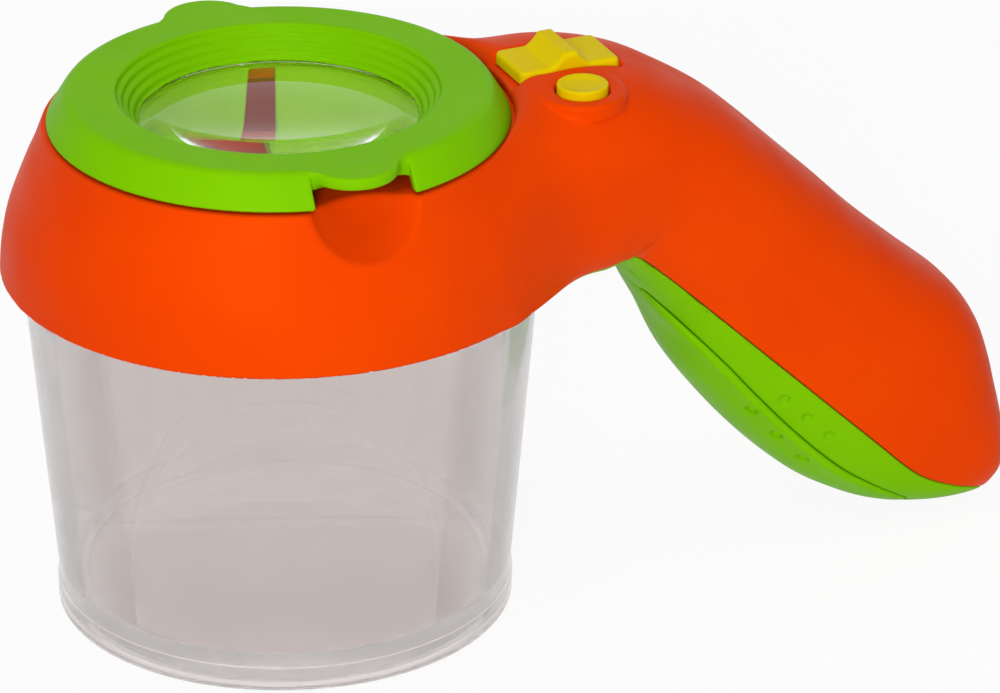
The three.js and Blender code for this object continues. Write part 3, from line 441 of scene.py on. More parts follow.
# Inside the wall the hollow follows the upper half of the head's line
inner_line = [(r - WALL, min(z - 1, DECK - 2)) for r, z in catmull(head_line, 6)[18:31:3]]
head_hollow = outline_chart([
    (-10, 58), (CUP_BORE, 58), (CUP_BORE, CUP_SEAT), (CUP_BORE - CUP_WALL - 0.6, CUP_SEAT), *inner_line,
    (inner_line[-1][0] - 1.4, DECK - 2), (THROAT_OUTSIDE, DECK - 2), (THROAT_OUTSIDE, THROAT_BOTTOM),
    (-10, THROAT_BOTTOM),
], HEAD_LOW, HEAD_HIGH)


# Housing, lower shell and cover

def rod_field(x, y, z, along, side, radius, low, high):
    """A round post along the grip frame's height."""
    u, h = in_grip(x, z)
    reach = np.hypot(u - along, y - side) - radius
    return np.maximum(reach, np.maximum(low - h, h - high))


def head_and_handle(x, y, z):
    r = np.hypot(x, y)
    return smooth_min(head_outer(r, z), handle_field(x, y, z), HEAD_BLEND)


def boss_field(x, y, z):
    reach = np.hypot(x - BUTTON_X, y - BUTTON_Y)
    return smooth_max(smooth_max(reach - BOSS_RADIUS, z - BOSS_TOP, 1.0), BOSS_UNDER - z, 0.2)


def finger_dimple(x, y, z, grown=0.0):
    lx, ly = turned_about_z(x, y, LID_TURN)
    return np.sqrt(lx**2 + (ly + DIMPLE_REACH) ** 2 + (z - DIMPLE_HEIGHT) ** 2) - DIMPLE_RADIUS - grown


def hinge_ears(x, y, z):
    lx, ly = turned_about_z(x, y, LID_TURN)
    middle = BARREL_HALF + PART_GAP + EAR_THICKNESS / 2
    side = np.abs(np.abs(lx) - middle) - EAR_THICKNESS / 2
    reach = np.hypot(ly - HINGE_REACH, z - HINGE_HEIGHT) - EAR_RADIUS
    foot = np.maximum(np.abs(ly - HINGE_REACH) - EAR_RADIUS, np.abs(z - HINGE_HEIGHT + 2) - 2)
    return smooth_max(np.minimum(reach, foot), side, 0.4)


def hinge_rooms(x, y, z):
    lx, ly = turned_about_z(x, y, LID_TURN)
    reach = np.hypot(ly - HINGE_REACH, z - HINGE_HEIGHT)
    barrel = np.maximum(reach - BARREL_RADIUS - BARREL_ROOM, np.abs(lx) - BARREL_HALF - BARREL_END_ROOM)
    return np.minimum(barrel, np.maximum(reach - PIN_ROOM, np.abs(lx) - PIN_REACH))


def housing_field(x, y, z):
    r = np.hypot(x, y)
    skin = smooth_min(head_and_handle(x, y, z), boss_field(x, y, z), 0.8)
    skin = smooth_max(skin, SEAM_GAP / 2 - under_seam(x, z), 0.4)
    skin = smooth_max(skin, (z - COLLAR_TOP - COLLAR_SLOPE * np.maximum(r - LID_POCKET, 0)) * 0.8, 1.0)
    bulge = np.maximum(finger_dimple(x, y, z, DIMPLE_WALL), CUP_SEAT - z)
    hollow = np.maximum(head_hollow(r, z), -bulge)
    neck_hollow = np.maximum(handle_field(x, y, z, WALL), -head_outer(r, z))
    body = np.maximum(np.maximum(skin, -hollow), -neck_hollow)
    kx, ky = turned_about_z(x, y, KNOB_TURN, (KNOB_X, KNOB_Y))
    tray = box_field(kx, ky, z, TRAY_LOW, TRAY_HIGH, 0.2)
    posts = np.minimum(
        rod_field(x, np.abs(y), z, NECK_SCREW, NECK_SCREW_SIDE, UPPER_POST, NECK_JOINT + POST_GAP / 2, FAR),
        rod_field(x, y, z, TIP_SCREW, 0, UPPER_POST, TIP_JOINT + POST_GAP / 2, FAR),
    )
    inside = np.maximum(np.minimum(tray, posts), handle_field(x, y, z, WALL / 2))
    body = np.minimum(body, inside)
    pocket = np.minimum(np.maximum(r - LID_POCKET, DECK - z), r - THROAT_INSIDE)
    body = smooth_max(body, -pocket, 0.6)
    body = np.minimum(body, hinge_ears(x, y, z))
    body = np.maximum(body, -hinge_rooms(x, y, z))
    body = smooth_max(body, -finger_dimple(x, y, z), 0.8)
    half, side = KNOB_LENGTH / 2 + KNOB_ROOM, KNOB_WIDTH / 2 + PART_GAP
    low, top = KNOB_BOTTOM - PART_GAP, 2 * FAR
    recess = box_field(kx, ky, z, (-half - KNOB_TRAVEL, -side, low), (half, side, top), 0.9)
    half, side = STEM_HALF_LENGTH + PART_GAP, STEM_HALF_WIDTH + PART_GAP
    slot = box_field(kx, ky, z, (-half - KNOB_TRAVEL, -side, 80), (half, side, top), 0.3)
    body = smooth_max(body, -recess, 0.9)
    body = np.maximum(body, -slot)
    reach = np.hypot(x - BUTTON_X, y - BUTTON_Y)
    hole = np.maximum(reach - BUTTON_RADIUS - PART_GAP, BOARD_TOP - z)
    flange_room = np.maximum(reach - FLANGE_ROOM, np.maximum(z - BOSS_UNDER, BOARD_TOP - z))
    body = smooth_max(body, -hole, 0.7)
    body = np.maximum(body, -flange_room)
    bores = np.minimum(
        rod_field(x, np.abs(y), z, NECK_SCREW, NECK_SCREW_SIDE, SHANK_BORE, UPPER_BORE_START, NECK_BORE_TOP),
        rod_field(x, y, z, TIP_SCREW, 0, SHANK_BORE, UPPER_BORE_START, TIP_BORE_TOP),
    )
    return np.maximum(body, -bores)


def grip_dimples(x, y, z, places):
    """Small round dents in the grip's surface, on both sides."""
    deepest = np.full(np.broadcast(x, y, z).shape, 1e3)
    for along, height in places:
        px, pz = grip_point(along, height)
        at = [np.array([v]) for v in (px, pz)]
        share, power = float(height_share(*at)[0]), float(belly_power(*at)[0])
        side = float(half_width(*at)[0]) * (1 - min(abs(share), 0.99) ** power) ** (1 / power)
        away = GRIP_DIMPLE_RADIUS - GRIP_DIMPLE_DEPTH
        lean = 0.5 if height > -14 else 0.75
        cx, cz = grip_point(along, height - away * lean)
        cy = side + away * math.sqrt(1 - lean**2)
        ball = np.sqrt((x - cx) ** 2 + (np.abs(y) - cy) ** 2 + (z - cz) ** 2) - GRIP_DIMPLE_RADIUS
        deepest = np.minimum(deepest, ball)
    return deepest


def lower_shell_field(x, y, z):
    r = np.hypot(x, y)
    skin = smooth_max(head_and_handle(x, y, z), under_seam(x, z) + SEAM_GAP / 2, 0.5)
    skin = smooth_max(skin, RIM_RADIUS + PART_GAP - r, 0.3)
    skin = smooth_max(skin, -grip_dimples(x, y, z, FLANK_DIMPLES), 0.3)
    body = np.maximum(skin, -handle_field(x, y, z, WALL))
    posts = np.minimum(
        rod_field(x, np.abs(y), z, NECK_SCREW, NECK_SCREW_SIDE, LOWER_POST, -FAR, NECK_JOINT - POST_GAP / 2),
        rod_field(x, y, z, TIP_SCREW, 0, LOWER_POST, -FAR, TIP_JOINT - POST_GAP / 2),
    )
    body = np.minimum(body, np.maximum(posts, handle_field(x, y, z, WALL / 2)))
    body = smooth_max(body, COVER_GAP - under_cover(x, z), 0.4)
    # A thin skin closes the neck's two screw recesses from outside
    neck_shank = rod_field(x, np.abs(y), z, NECK_SCREW, NECK_SCREW_SIDE, SHANK_BORE, NECK_HEAD_BOTTOM, FAR)
    neck_head = rod_field(
        x, np.abs(y), z, NECK_SCREW, NECK_SCREW_SIDE, HEAD_BORE, NECK_HEAD_BOTTOM, NECK_HEAD_TOP)
    tip_shank = rod_field(x, y, z, TIP_SCREW, 0, SHANK_BORE, -FAR, FAR)
    tip_head = rod_field(x, y, z, TIP_SCREW, 0, HEAD_BORE, -FAR, TIP_HEAD_TOP)
    bores = np.minimum(np.minimum(neck_shank, neck_head), np.minimum(tip_shank, tip_head))
    return smooth_max(body, -bores, 0.4)


def cover_field(x, y, z):
    edge = under_cover(x, z)
    along, _ = in_grip(x, z)
    fade = 1 - np.clip((along - COVER_FADE_START) / (COVER_END - COVER_FADE_START), 0, 1)
    fade = fade * np.clip((along - COVER_START) / COVER_FADE_IN, 0, 1)
    bead = COVER_BEAD * np.exp(-((edge + 1.5) / 1.0) ** 2)
    skin = smooth_max(handle_field(x, y, z) - (bead + COVER_PROUD) * fade, edge, 1.0)
    skin = smooth_max(skin, -grip_dimples(x, y, z, PANEL_DIMPLES), 0.3)
    body = np.maximum(skin, -handle_field(x, y, z, COVER_WALL - COVER_PROUD))
    boss = rod_field(x, y, z, COVER_SCREW, 0, COVER_POST, -FAR, COVER_POST_TOP)
    body = np.minimum(body, np.maximum(boss, handle_field(x, y, z, 0.3)))
    bores = np.minimum(rod_field(x, y, z, COVER_SCREW, 0, SHANK_BORE, -FAR, FAR),
                       rod_field(x, y, z, COVER_SCREW, 0, HEAD_BORE, -FAR, COVER_HEAD_TOP))
    return smooth_max(body, -bores, 0.4)


# Lens lid

def funnel_line():
    run, drop = (FUNNEL_RADIUS - LENS_OPENING) / FUNNEL_STEPS, FUNNEL_DEPTH / FUNNEL_STEPS
    line = []
    for k in range(FUNNEL_STEPS):
        r, z = FUNNEL_RADIUS - run * k, LID_TOP - drop * k
        line += [(r, z - drop * 0.15), (r - run * 0.15, z - drop * 0.95)]
    return line


ring_profile = outline_chart([
    (SKIRT_RADIUS, SKIRT_BOTTOM), (LID_TOP_RADIUS + 0.9, LID_TOP - 1.3),
    (LID_TOP_RADIUS + 0.2, LID_TOP - 0.4), (LID_TOP_RADIUS - 0.8, LID_TOP),
    (FUNNEL_RADIUS + 0.5, LID_TOP), *funnel_line(),
    (LENS_OPENING, LENS_SEAT + 0.4), (LENS_OPENING, LENS_SEAT), (RETAINER_RADIUS + PART_GAP, LENS_SEAT),
    (RETAINER_RADIUS + PART_GAP, SKIRT_BOTTOM), (FUNNEL_RADIUS + 2, LID_TOP - 2),
    (LID_TOP_RADIUS - 1.2, LID_TOP - 2), (SKIRT_RADIUS - 2, SKIRT_BOTTOM),
], (20.0, 88.0), (48.0, 103.0), 0.12, 6)


def ring_field(x, y, z):
    lx, ly = turned_about_z(x, y, LID_TURN)
    r = np.hypot(lx, ly)
    ring = ring_profile(r, z)
    notch = np.maximum(np.maximum(-NOTCH_LEFT - lx, lx - NOTCH_RIGHT), ly + LID_TOP_RADIUS - 0.8)
    rear = np.maximum(np.abs(lx) - 7.8, LID_TOP_RADIUS - 0.4 - ly)
    ring = smooth_max(smooth_max(ring, -notch, 0.6), -rear, 0.6)
    outside = FUNNEL_RADIUS + 2 - r
    tab = np.maximum(np.hypot(lx, ly + TAB_CENTRE) - TAB_RADIUS, outside)
    tab = smooth_max(tab, np.abs(z - LID_TOP + 1.2) - 1.15, 0.9)
    lobe = np.maximum(np.hypot(lx, ly - TAB_CENTRE) - TAB_RADIUS, outside)
    lobe = smooth_max(lobe, np.abs(z - LID_TOP + 0.8) - 0.75, 0.7)
    barrel = smooth_max(np.hypot(ly - HINGE_REACH, z - HINGE_HEIGHT) - BARREL_RADIUS,
                        np.abs(lx) - BARREL_HALF, 0.4)
    body = smooth_min(smooth_min(smooth_min(ring, tab, 1.6), lobe, 1.2), barrel, 0.6)
    body = np.maximum(body, z - LID_TOP)
    pin = np.maximum(np.hypot(ly - HINGE_REACH, z - HINGE_HEIGHT) - PIN_ROOM, np.abs(lx) - PIN_REACH)
    return np.maximum(body, -pin)


lens_edge_bottom = LENS_SEAT - PART_GAP - LENS_EDGE
ledge = lens_edge_bottom - PART_GAP
retainer_profile = outline_chart([
    (RETAINER_RADIUS, LENS_SEAT - PART_GAP), (LENS_RADIUS + PART_GAP, LENS_SEAT - PART_GAP),
    (LENS_RADIUS + PART_GAP, ledge), (LENS_RADIUS - 0.7, ledge), (LENS_RADIUS - 0.7, ledge - 1),
    (LENS_RADIUS + 0.1, ledge - 1.6), (RETAINER_RADIUS - RETAINER_DRAFT - 1.4, RETAINER_BOTTOM),
    (RETAINER_RADIUS - RETAINER_DRAFT, RETAINER_BOTTOM),
], (20.0, 68.0), (34.0, 98.0), 0.12, 3)


def retainer_field(x, y, z):
    lx, ly = turned_about_z(x, y, LID_TURN)
    body = retainer_profile(np.hypot(lx, ly), z)
    sx, sy = turned_about_z(lx, ly, RETAINER_SLOT_ANGLE)
    slot = np.maximum(np.maximum(np.abs(sy) - RETAINER_SLOT / 2, -sx), z - ledge + 2)
    body = smooth_max(body, -slot, 0.3)
    angle = np.arctan2(ly, lx) * RETAINER_TABS / (2 * math.pi)
    offset = (angle - np.floor(angle) - 0.5) * 2 * math.pi / RETAINER_TABS * RETAINER_RADIUS
    gaps = np.maximum(np.abs(offset) - RETAINER_TAB_GAP / 2, LENS_SEAT - PART_GAP - 1 - z)
    return smooth_max(body, -gaps, 0.2)


# Slide knob, in a frame turned with it

def knob_field(x, y, z):
    kx, ky = turned_about_z(x, y, KNOB_TURN, (KNOB_X, KNOB_Y))
    h = z - KNOB_BOTTOM
    side = np.abs(kx)
    rise = np.clip((RIDGE_BASE / 2 - side) / (RIDGE_BASE / 2 - RIDGE_TOP / 2), 0, 1)
    top = KNOB_THICKNESS + RIDGE_HEIGHT * rise**1.7
    dx, dy = side - KNOB_LENGTH / 2 + KNOB_CORNER, np.abs(ky) - KNOB_WIDTH / 2 + KNOB_CORNER
    plan = np.hypot(np.maximum(dx, 0), np.maximum(dy, 0)) + np.minimum(np.maximum(dx, dy), 0) - KNOB_CORNER
    slab = smooth_max(smooth_max(plan, (h - top) * 0.75, 0.9), -h, 0.3)
    long, wide = STEM_HALF_LENGTH, STEM_HALF_WIDTH
    stem = box_field(kx, ky, h, (-long, -wide, -STEM_DROP), (long, wide, 0.6), 0.2)
    fork = np.maximum(np.abs(kx) - long / 2, h + PART_GAP)
    return np.minimum(slab, np.maximum(stem, -fork))


# Meshes

def surface_net(field, low, high, cell):
    """A mesh of triangles near the zero of the field, on an even grid."""
    axes = [np.arange(a, b + cell, cell) for a, b in zip(low, high)]
    values = np.broadcast_to(field(*np.ix_(*axes)), [len(a) for a in axes])
    inside = values < 0
    corners = [(i, j, k) for i in (0, 1) for j in (0, 1) for k in (0, 1)]
    shape = [n - 1 for n in values.shape]

    def shifted(array, corner):
        return array[tuple(slice(c, c + n) for c, n in zip(corner, shape))]

    count = sum(shifted(inside, c).astype(np.int8) for c in corners)
    active = (count > 0) & (count < 8)
    number = np.full(shape, -1)
    number[active] = np.arange(active.sum())
    places = np.argwhere(active)
    value = np.stack([values[tuple((places + c).T)] for c in corners], 1)
    total, hits = np.zeros((len(places), 3)), np.zeros(len(places))
    for a, first in enumerate(corners):
        for b, second in enumerate(corners):
            if sum(second) != sum(first) + 1 or any(q < p for p, q in zip(first, second)):
                continue
            va, vb = value[:, a], value[:, b]
            cross = (va < 0) != (vb < 0)
            t = np.where(cross, va / np.where(va == vb, 1, va - vb), 0)
            point = np.array(first) + t[:, None] * (np.array(second) - np.array(first))
            total += cross[:, None] * point
            hits += cross
    points = np.array(low) + (places + total / hits[:, None]) * cell
    quads = []
    for axis in range(3):
        u, v = [k for k in range(3) if k != axis]
        ahead = [slice(None)] * 3
        behind = [slice(None)] * 3
        ahead[axis], behind[axis] = slice(1, None), slice(None, -1)
        crossing = np.argwhere(inside[tuple(ahead)] != inside[tuple(behind)])
        keep = np.all([(crossing[:, k] > 0) & (crossing[:, k] < shape[k]) for k in (u, v)], axis=0)
        crossing = crossing[keep]
        step_u, step_v = np.eye(3, dtype=int)[u], np.eye(3, dtype=int)[v]
        ring = [crossing - step_u - step_v, crossing - step_v, crossing, crossing - step_u]
        quad = np.stack([number[tuple(c.T)] for c in ring], 1)
        flip = inside[tuple(crossing.T)] ^ (axis == 1)
        quads.append(np.where(flip[:, None], quad, quad[:, ::-1]))
    quads = np.concatenate(quads)
    short = (np.linalg.norm(points[quads[:, 0]] - points[quads[:, 2]], axis=1)
             < np.linalg.norm(points[quads[:, 1]] - points[quads[:, 3]], axis=1))
    one = np.where(short[:, None], quads[:, [0, 1, 2]], quads[:, [0, 1, 3]])
    two = np.where(short[:, None], quads[:, [0, 2, 3]], quads[:, [1, 2, 3]])
    return points, np.concatenate([one, two])


def gradient(field, points, step=0.06):
    columns = []
    for axis in range(3):
        shift = np.zeros(3)
        shift[axis] = step
        ahead = field(*(points + shift).T)
        behind = field(*(points - shift).T)
        columns.append((ahead - behind) / (2 * step))
    return np.stack(columns, 1)


def onto_surface(field, points, reach, steps=3):
    for _ in range(steps):
        slope = gradient(field, points)
        size = np.maximum((slope**2).sum(1), 0.05)
        move = -field(*points.T)[:, None] * slope / size[:, None]
        length = np.linalg.norm(move, axis=1, keepdims=True)
        points = points + move * np.minimum(1, reach / np.maximum(length, 1e-9))
    return points


def relaxed(points, faces, share=0.5):
    """Each point moved part of the way to the middle of its neighbours."""
    total, count = np.zeros_like(points), np.zeros(len(points))
    for a, b in ((0, 1), (1, 2), (2, 0)):
        for p, q in ((a, b), (b, a)):
            for axis in range(3):
                total[:, axis] += np.bincount(faces[:, p], points[faces[:, q], axis], len(points))
            count += np.bincount(faces[:, p], minlength=len(points))
    return points + share * (total / count[:, None] - points)


def refined(field, points, faces, bend, shortest):
    """Edges that bend more than the given angle are split, and the new points laid on the surface."""
    normals = gradient(field, points)
    normals /= np.maximum(np.linalg.norm(normals, axis=1, keepdims=True), 1e-9)
    pairs = np.sort(faces[:, [[0, 1], [1, 2], [2, 0]]].reshape(-1, 2), axis=1)
    key, back = np.unique(pairs[:, 0] * len(points) + pairs[:, 1], return_inverse=True)
    a, b = key // len(points), key % len(points)
    bent = (normals[a] * normals[b]).sum(1) < math.cos(bend)
    split = bent & (np.linalg.norm(points[a] - points[b], axis=1) > shortest)
    middle = np.full(len(key), -1)
    middle[split] = len(points) + np.arange(split.sum())
    fresh = onto_surface(field, (points[a[split]] + points[b[split]]) / 2, shortest / 2, 2)
    mids = middle[back].reshape(-1, 3)
    marks = mids >= 0
    out = [faces[marks.sum(1) == 0]]
    for turn in range(3):
        order = [turn, (turn + 1) % 3, (turn + 2) % 3]
        f, m, k = faces[:, order], mids[:, order], marks[:, order]
        one = k[:, 0] & ~k[:, 1] & ~k[:, 2]
        out.append(np.stack([f[one, 0], m[one, 0], f[one, 2]], 1))
        out.append(np.stack([m[one, 0], f[one, 1], f[one, 2]], 1))
        two = k[:, 0] & k[:, 1] & ~k[:, 2]
        out.append(np.stack([m[two, 0], f[two, 1], m[two, 1]], 1))
        out.append(np.stack([f[two, 0], m[two, 0], m[two, 1]], 1))
        out.append(np.stack([f[two, 0], m[two, 1], f[two, 2]], 1))
    three = marks.all(1)
    f, m = faces[three], mids[three]
    out.append(np.stack([f[:, 0], m[:, 0], m[:, 2]], 1))
    out.append(np.stack([m[:, 0], f[:, 1], m[:, 1]], 1))
    out.append(np.stack([m[:, 2], m[:, 1], f[:, 2]], 1))
    out.append(m)
    return np.vstack([points, fresh]), np.concatenate(out)


def mesh_object(name, points, faces, normals=None):
    mesh = bpy.data.meshes.new(name)
    mesh.vertices.add(len(points))
    mesh.vertices.foreach_set("co", (np.asarray(points) * MM).ravel())
    mesh.loops.add(faces.size)
    mesh.loops.foreach_set("vertex_index", faces.ravel().astype(np.int32))
    mesh.polygons.add(len(faces))
    mesh.polygons.foreach_set("loop_start", np.arange(0, faces.size, faces.shape[1], dtype=np.int32))
    mesh.update(calc_edges=True)
    mesh.polygons.foreach_set("use_smooth", np.ones(len(faces), bool))
    mesh.validate()
    if normals is not None:
        mesh.normals_split_custom_set_from_vertices(normals.tolist())
    made = bpy.data.objects.new(name, mesh)
    bpy.context.scene.collection.objects.link(made)
    return made


def field_piece(name, field, low, high, cell, rounds=2, bend=14, shortest=0.25):
    points, faces = surface_net(field, low, high, cell)
    for _ in range(2):
        points = onto_surface(field, relaxed(points, faces), cell / 2, 2)
    for _ in range(rounds):
        points, faces = refined(field, points, faces, math.radians(bend), shortest)
    normals = gradient(field, points, 0.12)
    normals /= np.maximum(np.linalg.norm(normals, axis=1, keepdims=True), 1e-9)
    print(name, len(faces), "triangles")
    return mesh_object(name, points, faces, normals)


def turned_piece(name, profile, steps=128, centre=(0, 0)):
    """A closed outline in radius and height, turned about an upright axis. Its ends lie on the axis."""
    profile = np.array(profile, float)
    angles = 2 * math.pi * np.arange(steps) / steps
    ring = profile[1:-1]
    points = np.stack([
        ring[:, 0][:, None] * np.cos(angles) + centre[0],
        ring[:, 0][:, None] * np.sin(angles) + centre[1],
        np.repeat(ring[:, 1][:, None], steps, 1),
    ], -1).reshape(-1, 3)
    ends = np.array([[*centre, profile[0][1]], [*centre, profile[-1][1]]])
    faces = []
    i = np.arange(steps)
    j = (i + 1) % steps
    for row in range(len(ring) - 1):
        a, b = row * steps, (row + 1) * steps
        faces += [np.stack([a + i, a + j, b + j], 1), np.stack([a + i, b + j, b + i], 1)]
    last = (len(ring) - 1) * steps
    faces.append(np.stack([j, i, np.full(steps, len(points))], 1))
    faces.append(np.stack([last + i, last + j, np.full(steps, len(points) + 1)], 1))
    return mesh_object(name, np.vstack([points, ends]), np.concatenate(faces))


def rounded(points, radius, steps=4):
    """An open line with its inner corners rounded by short arcs."""
    points = [np.array(p, float) for p in points]
    out = [points[0]]
    for before, here, after in zip(points, points[1:], points[2:]):
        a, b = before - here, after - here
        la, lb = np.linalg.norm(a), np.linalg.norm(b)
        cut = min(radius, la * 0.45, lb * 0.45)
        start, end = here + a / la * cut, here + b / lb * cut
        for t in np.linspace(0, 1, steps + 1):
            out.append(start * (1 - t) ** 2 + 2 * here * t * (1 - t) + end * t**2)
    return np.array(out + [points[-1]])


# Materials

def linear(red, green, blue):
    """A colour given as it shows on screen, from 0 to 255, in linear light."""
    out = []
    for value in (red, green, blue):
        v = value / 255
        out.append(v / 12.92 if v <= 0.04045 else ((v + 0.055) / 1.055) ** 2.4)
    return (*out, 1.0)


def new_material(name):
    material = bpy.data.materials.new(name)
    material.use_nodes = True
    tree = material.node_tree
    return material, tree, tree.nodes["Principled BSDF"]


def add_node(tree, kind, **inputs):
    node = tree.nodes.new(kind)
    for key, value in inputs.items():
        node.inputs[key.replace("_", " ")].default_value = value
    return node


def object_noise(tree, scale, detail=3.0):
    """Noise fixed to the piece. The scale is in repeats per metre."""
    place = tree.nodes.new("ShaderNodeTexCoord")
    noise = add_node(tree, "ShaderNodeTexNoise", Scale=scale, Detail=detail)
    tree.links.new(place.outputs["Object"], noise.inputs["Vector"])
    return noise


def spread(tree, source, low, high):
    """The source's 0.3 to 0.7 spread over low to high."""
    ranged = add_node(tree, "ShaderNodeMapRange")
    ranged.inputs["From Min"].default_value = 0.3
    ranged.inputs["From Max"].default_value = 0.7
    ranged.inputs["To Min"].default_value = low
    ranged.inputs["To Max"].default_value = high
    tree.links.new(source, ranged.inputs["Value"])
    return ranged.outputs["Result"]


def mixed_colour(tree, source, one, two):
    mix = tree.nodes.new("ShaderNodeMix")
    mix.data_type = "RGBA"
    tree.links.new(source, mix.inputs["Factor"])
    mix.inputs["A"].default_value = one
    mix.inputs["B"].default_value = two
    return mix.outputs["Result"]


def moulded_plastic(name, colour, shade, roughness=0.42, grain=0.04, tint=(1, 1, 1, 1)):
    """Satin moulded plastic: slow colour drift, patches of more and less gloss, and a fine grain."""
    material, tree, shader = new_material(name)
    drift = object_noise(tree, 38, 2)
    cloudy = spread(tree, drift.outputs["Fac"], 0, 1)
    base = mixed_colour(tree, cloudy, colour, shade)
    tree.links.new(base, shader.inputs["Base Color"])
    patch = object_noise(tree, 120, 4)
    rough = spread(tree, patch.outputs["Fac"], roughness - 0.05, roughness + 0.06)
    tree.links.new(rough, shader.inputs["Roughness"])
    fine = object_noise(tree, 3200, 2)
    bump = add_node(tree, "ShaderNodeBump", Strength=0.35, Distance=grain * MM)
    tree.links.new(fine.outputs["Fac"], bump.inputs["Height"])
    tree.links.new(bump.outputs["Normal"], shader.inputs["Normal"])
    shader.inputs["IOR"].default_value = 1.46
    shader.inputs["Specular IOR Level"].default_value = 0.05
    shader.inputs["Specular Tint"].default_value = tint
    return material


def clear_plastic(name, colour, shade, roughness, ior=1.49, cover=1.0, shine=0.5):
    """Clear moulded plastic with slow colour drift, faint waves and a little haze."""
    material, tree, shader = new_material(name)
    flow = object_noise(tree, 26, 3)
    base = mixed_colour(tree, spread(tree, flow.outputs["Fac"], 0, 1), colour, shade)
    tree.links.new(base, shader.inputs["Base Color"])
    haze = object_noise(tree, 60, 4)
    rough = spread(tree, haze.outputs["Fac"], roughness, roughness * 1.8 + 0.01)
    tree.links.new(rough, shader.inputs["Roughness"])
    wave = object_noise(tree, 45, 1)
    bump = add_node(tree, "ShaderNodeBump", Strength=0.12, Distance=0.2 * MM)
    tree.links.new(wave.outputs["Fac"], bump.inputs["Height"])
    tree.links.new(bump.outputs["Normal"], shader.inputs["Normal"])
    shader.inputs["Transmission Weight"].default_value = 1.0
    shader.inputs["IOR"].default_value = ior
    shader.inputs["Alpha"].default_value = cover
    shader.inputs["Specular IOR Level"].default_value = shine
    return material


def brushed_metal(name, colour, shade, roughness=0.28):
    material, tree, shader = new_material(name)
    streak = object_noise(tree, 900, 3)
    base = mixed_colour(tree, spread(tree, streak.outputs["Fac"], 0, 1), colour, shade)
    tree.links.new(base, shader.inputs["Base Color"])
    rough = spread(tree, streak.outputs["Fac"], roughness - 0.06, roughness + 0.1)
    tree.links.new(rough, shader.inputs["Roughness"])
    bump = add_node(tree, "ShaderNodeBump", Strength=0.2, Distance=0.02 * MM)
    tree.links.new(streak.outputs["Fac"], bump.inputs["Height"])
    tree.links.new(bump.outputs["Normal"], shader.inputs["Normal"])
    shader.inputs["Metallic"].default_value = 1.0
    return material


# The gloss takes on a tint of the colour under it
ORANGE_TINT = (1, 0.5, 0.08, 1)
GREEN_TINT = (0.9, 1, 0.35, 1)
YELLOW_TINT = (1, 1, 0.3, 1)

orange = moulded_plastic("orange_plastic", linear(236, 69, 1), linear(231, 63, 1), 0.44, tint=ORANGE_TINT)
# A lighter copy of the green plastic for the lens retainer: painted light, making up for the dim light that
# reaches it behind the lens.
painted_light_green = moulded_plastic(
    "green_plastic_lit", linear(168, 224, 40), linear(160, 217, 34), tint=GREEN_TINT)
green = moulded_plastic("green_plastic", linear(124, 196, 1), linear(118, 190, 1), tint=GREEN_TINT)
yellow = moulded_plastic("yellow_plastic", linear(232, 206, 1), linear(226, 199, 1), tint=YELLOW_TINT)
black = moulded_plastic("black_plastic", linear(34, 34, 36), linear(28, 28, 30), 0.5)
board_green = moulded_plastic("board", linear(30, 106, 58), linear(24, 92, 50), 0.5)
jacket = moulded_plastic("cell_jacket", linear(42, 63, 102), linear(36, 56, 92), 0.34)
red_lead = moulded_plastic("lead_red", linear(184, 29, 29), linear(170, 24, 24), 0.5)
black_lead = moulded_plastic("lead_black", linear(30, 30, 32), linear(24, 24, 26), 0.5)
steel = brushed_metal("steel", linear(196, 198, 202), linear(176, 178, 182))
brass = brushed_metal("contact_brass", linear(214, 178, 104), linear(196, 158, 88))
cup_clear = clear_plastic("clear_cup", linear(218, 209, 207), linear(213, 204, 201), 0.04, 1.2, 0.7, 0.15)
lens_clear = clear_plastic("lens_clear", linear(250, 253, 248), linear(248, 252, 246), 0.0, 1.2, 1.0, 0.2)
lamp_clear = clear_plastic("lamp_clear", linear(244, 246, 250), linear(240, 242, 248), 0.05)


def finish_piece(piece, body, slot_name, material, *nodes):
    piece.data.materials.clear()
    piece.data.materials.append(material)
    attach(piece, body)
    if nodes:
        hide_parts(*nodes)


# Cup and lens

def cup_piece():
    foot = CUP_FOOT_RADIUS
    wall_foot = foot - CUP_FOOT_STEP
    mouth = CUP_RIM_RADIUS - CUP_WALL
    inner = wall_foot - CUP_WALL
    profile = rounded([
        (0, 0.6), (foot - 3.2, 0.6), (foot - 2.6, 0), (foot, 0),
        (foot, CUP_FOOT_HEIGHT), (wall_foot, CUP_FOOT_HEIGHT + 0.3), (CUP_RIM_RADIUS, CUP_HEIGHT),
        (mouth, CUP_HEIGHT), (inner, CUP_FLOOR), (inner - 1.2, CUP_FLOOR), (inner - 1.7, CUP_FLOOR - 0.5),
        (0, CUP_FLOOR - 0.5),
    ], 0.9)
    return turned_piece("cup_body", profile, 160)


def lens_piece():
    sag = LENS_CURVE - math.sqrt(LENS_CURVE**2 - LENS_OPENING**2)
    radii = np.linspace(0, LENS_OPENING, 12)
    rise = sag - (LENS_CURVE - np.sqrt(LENS_CURVE**2 - radii**2))
    top = LENS_SEAT - PART_GAP
    lower = [(r, lens_edge_bottom - h) for r, h in zip(radii, rise)]
    upper = [(r, top + h) for r, h in zip(radii, rise)][::-1]
    edge = [(LENS_RADIUS - 0.3, lens_edge_bottom), (LENS_RADIUS, lens_edge_bottom + 0.3),
            (LENS_RADIUS, top - 0.3), (LENS_RADIUS - 0.3, top)]
    return turned_piece("lens_body", [*lower, *edge, *upper], 128)


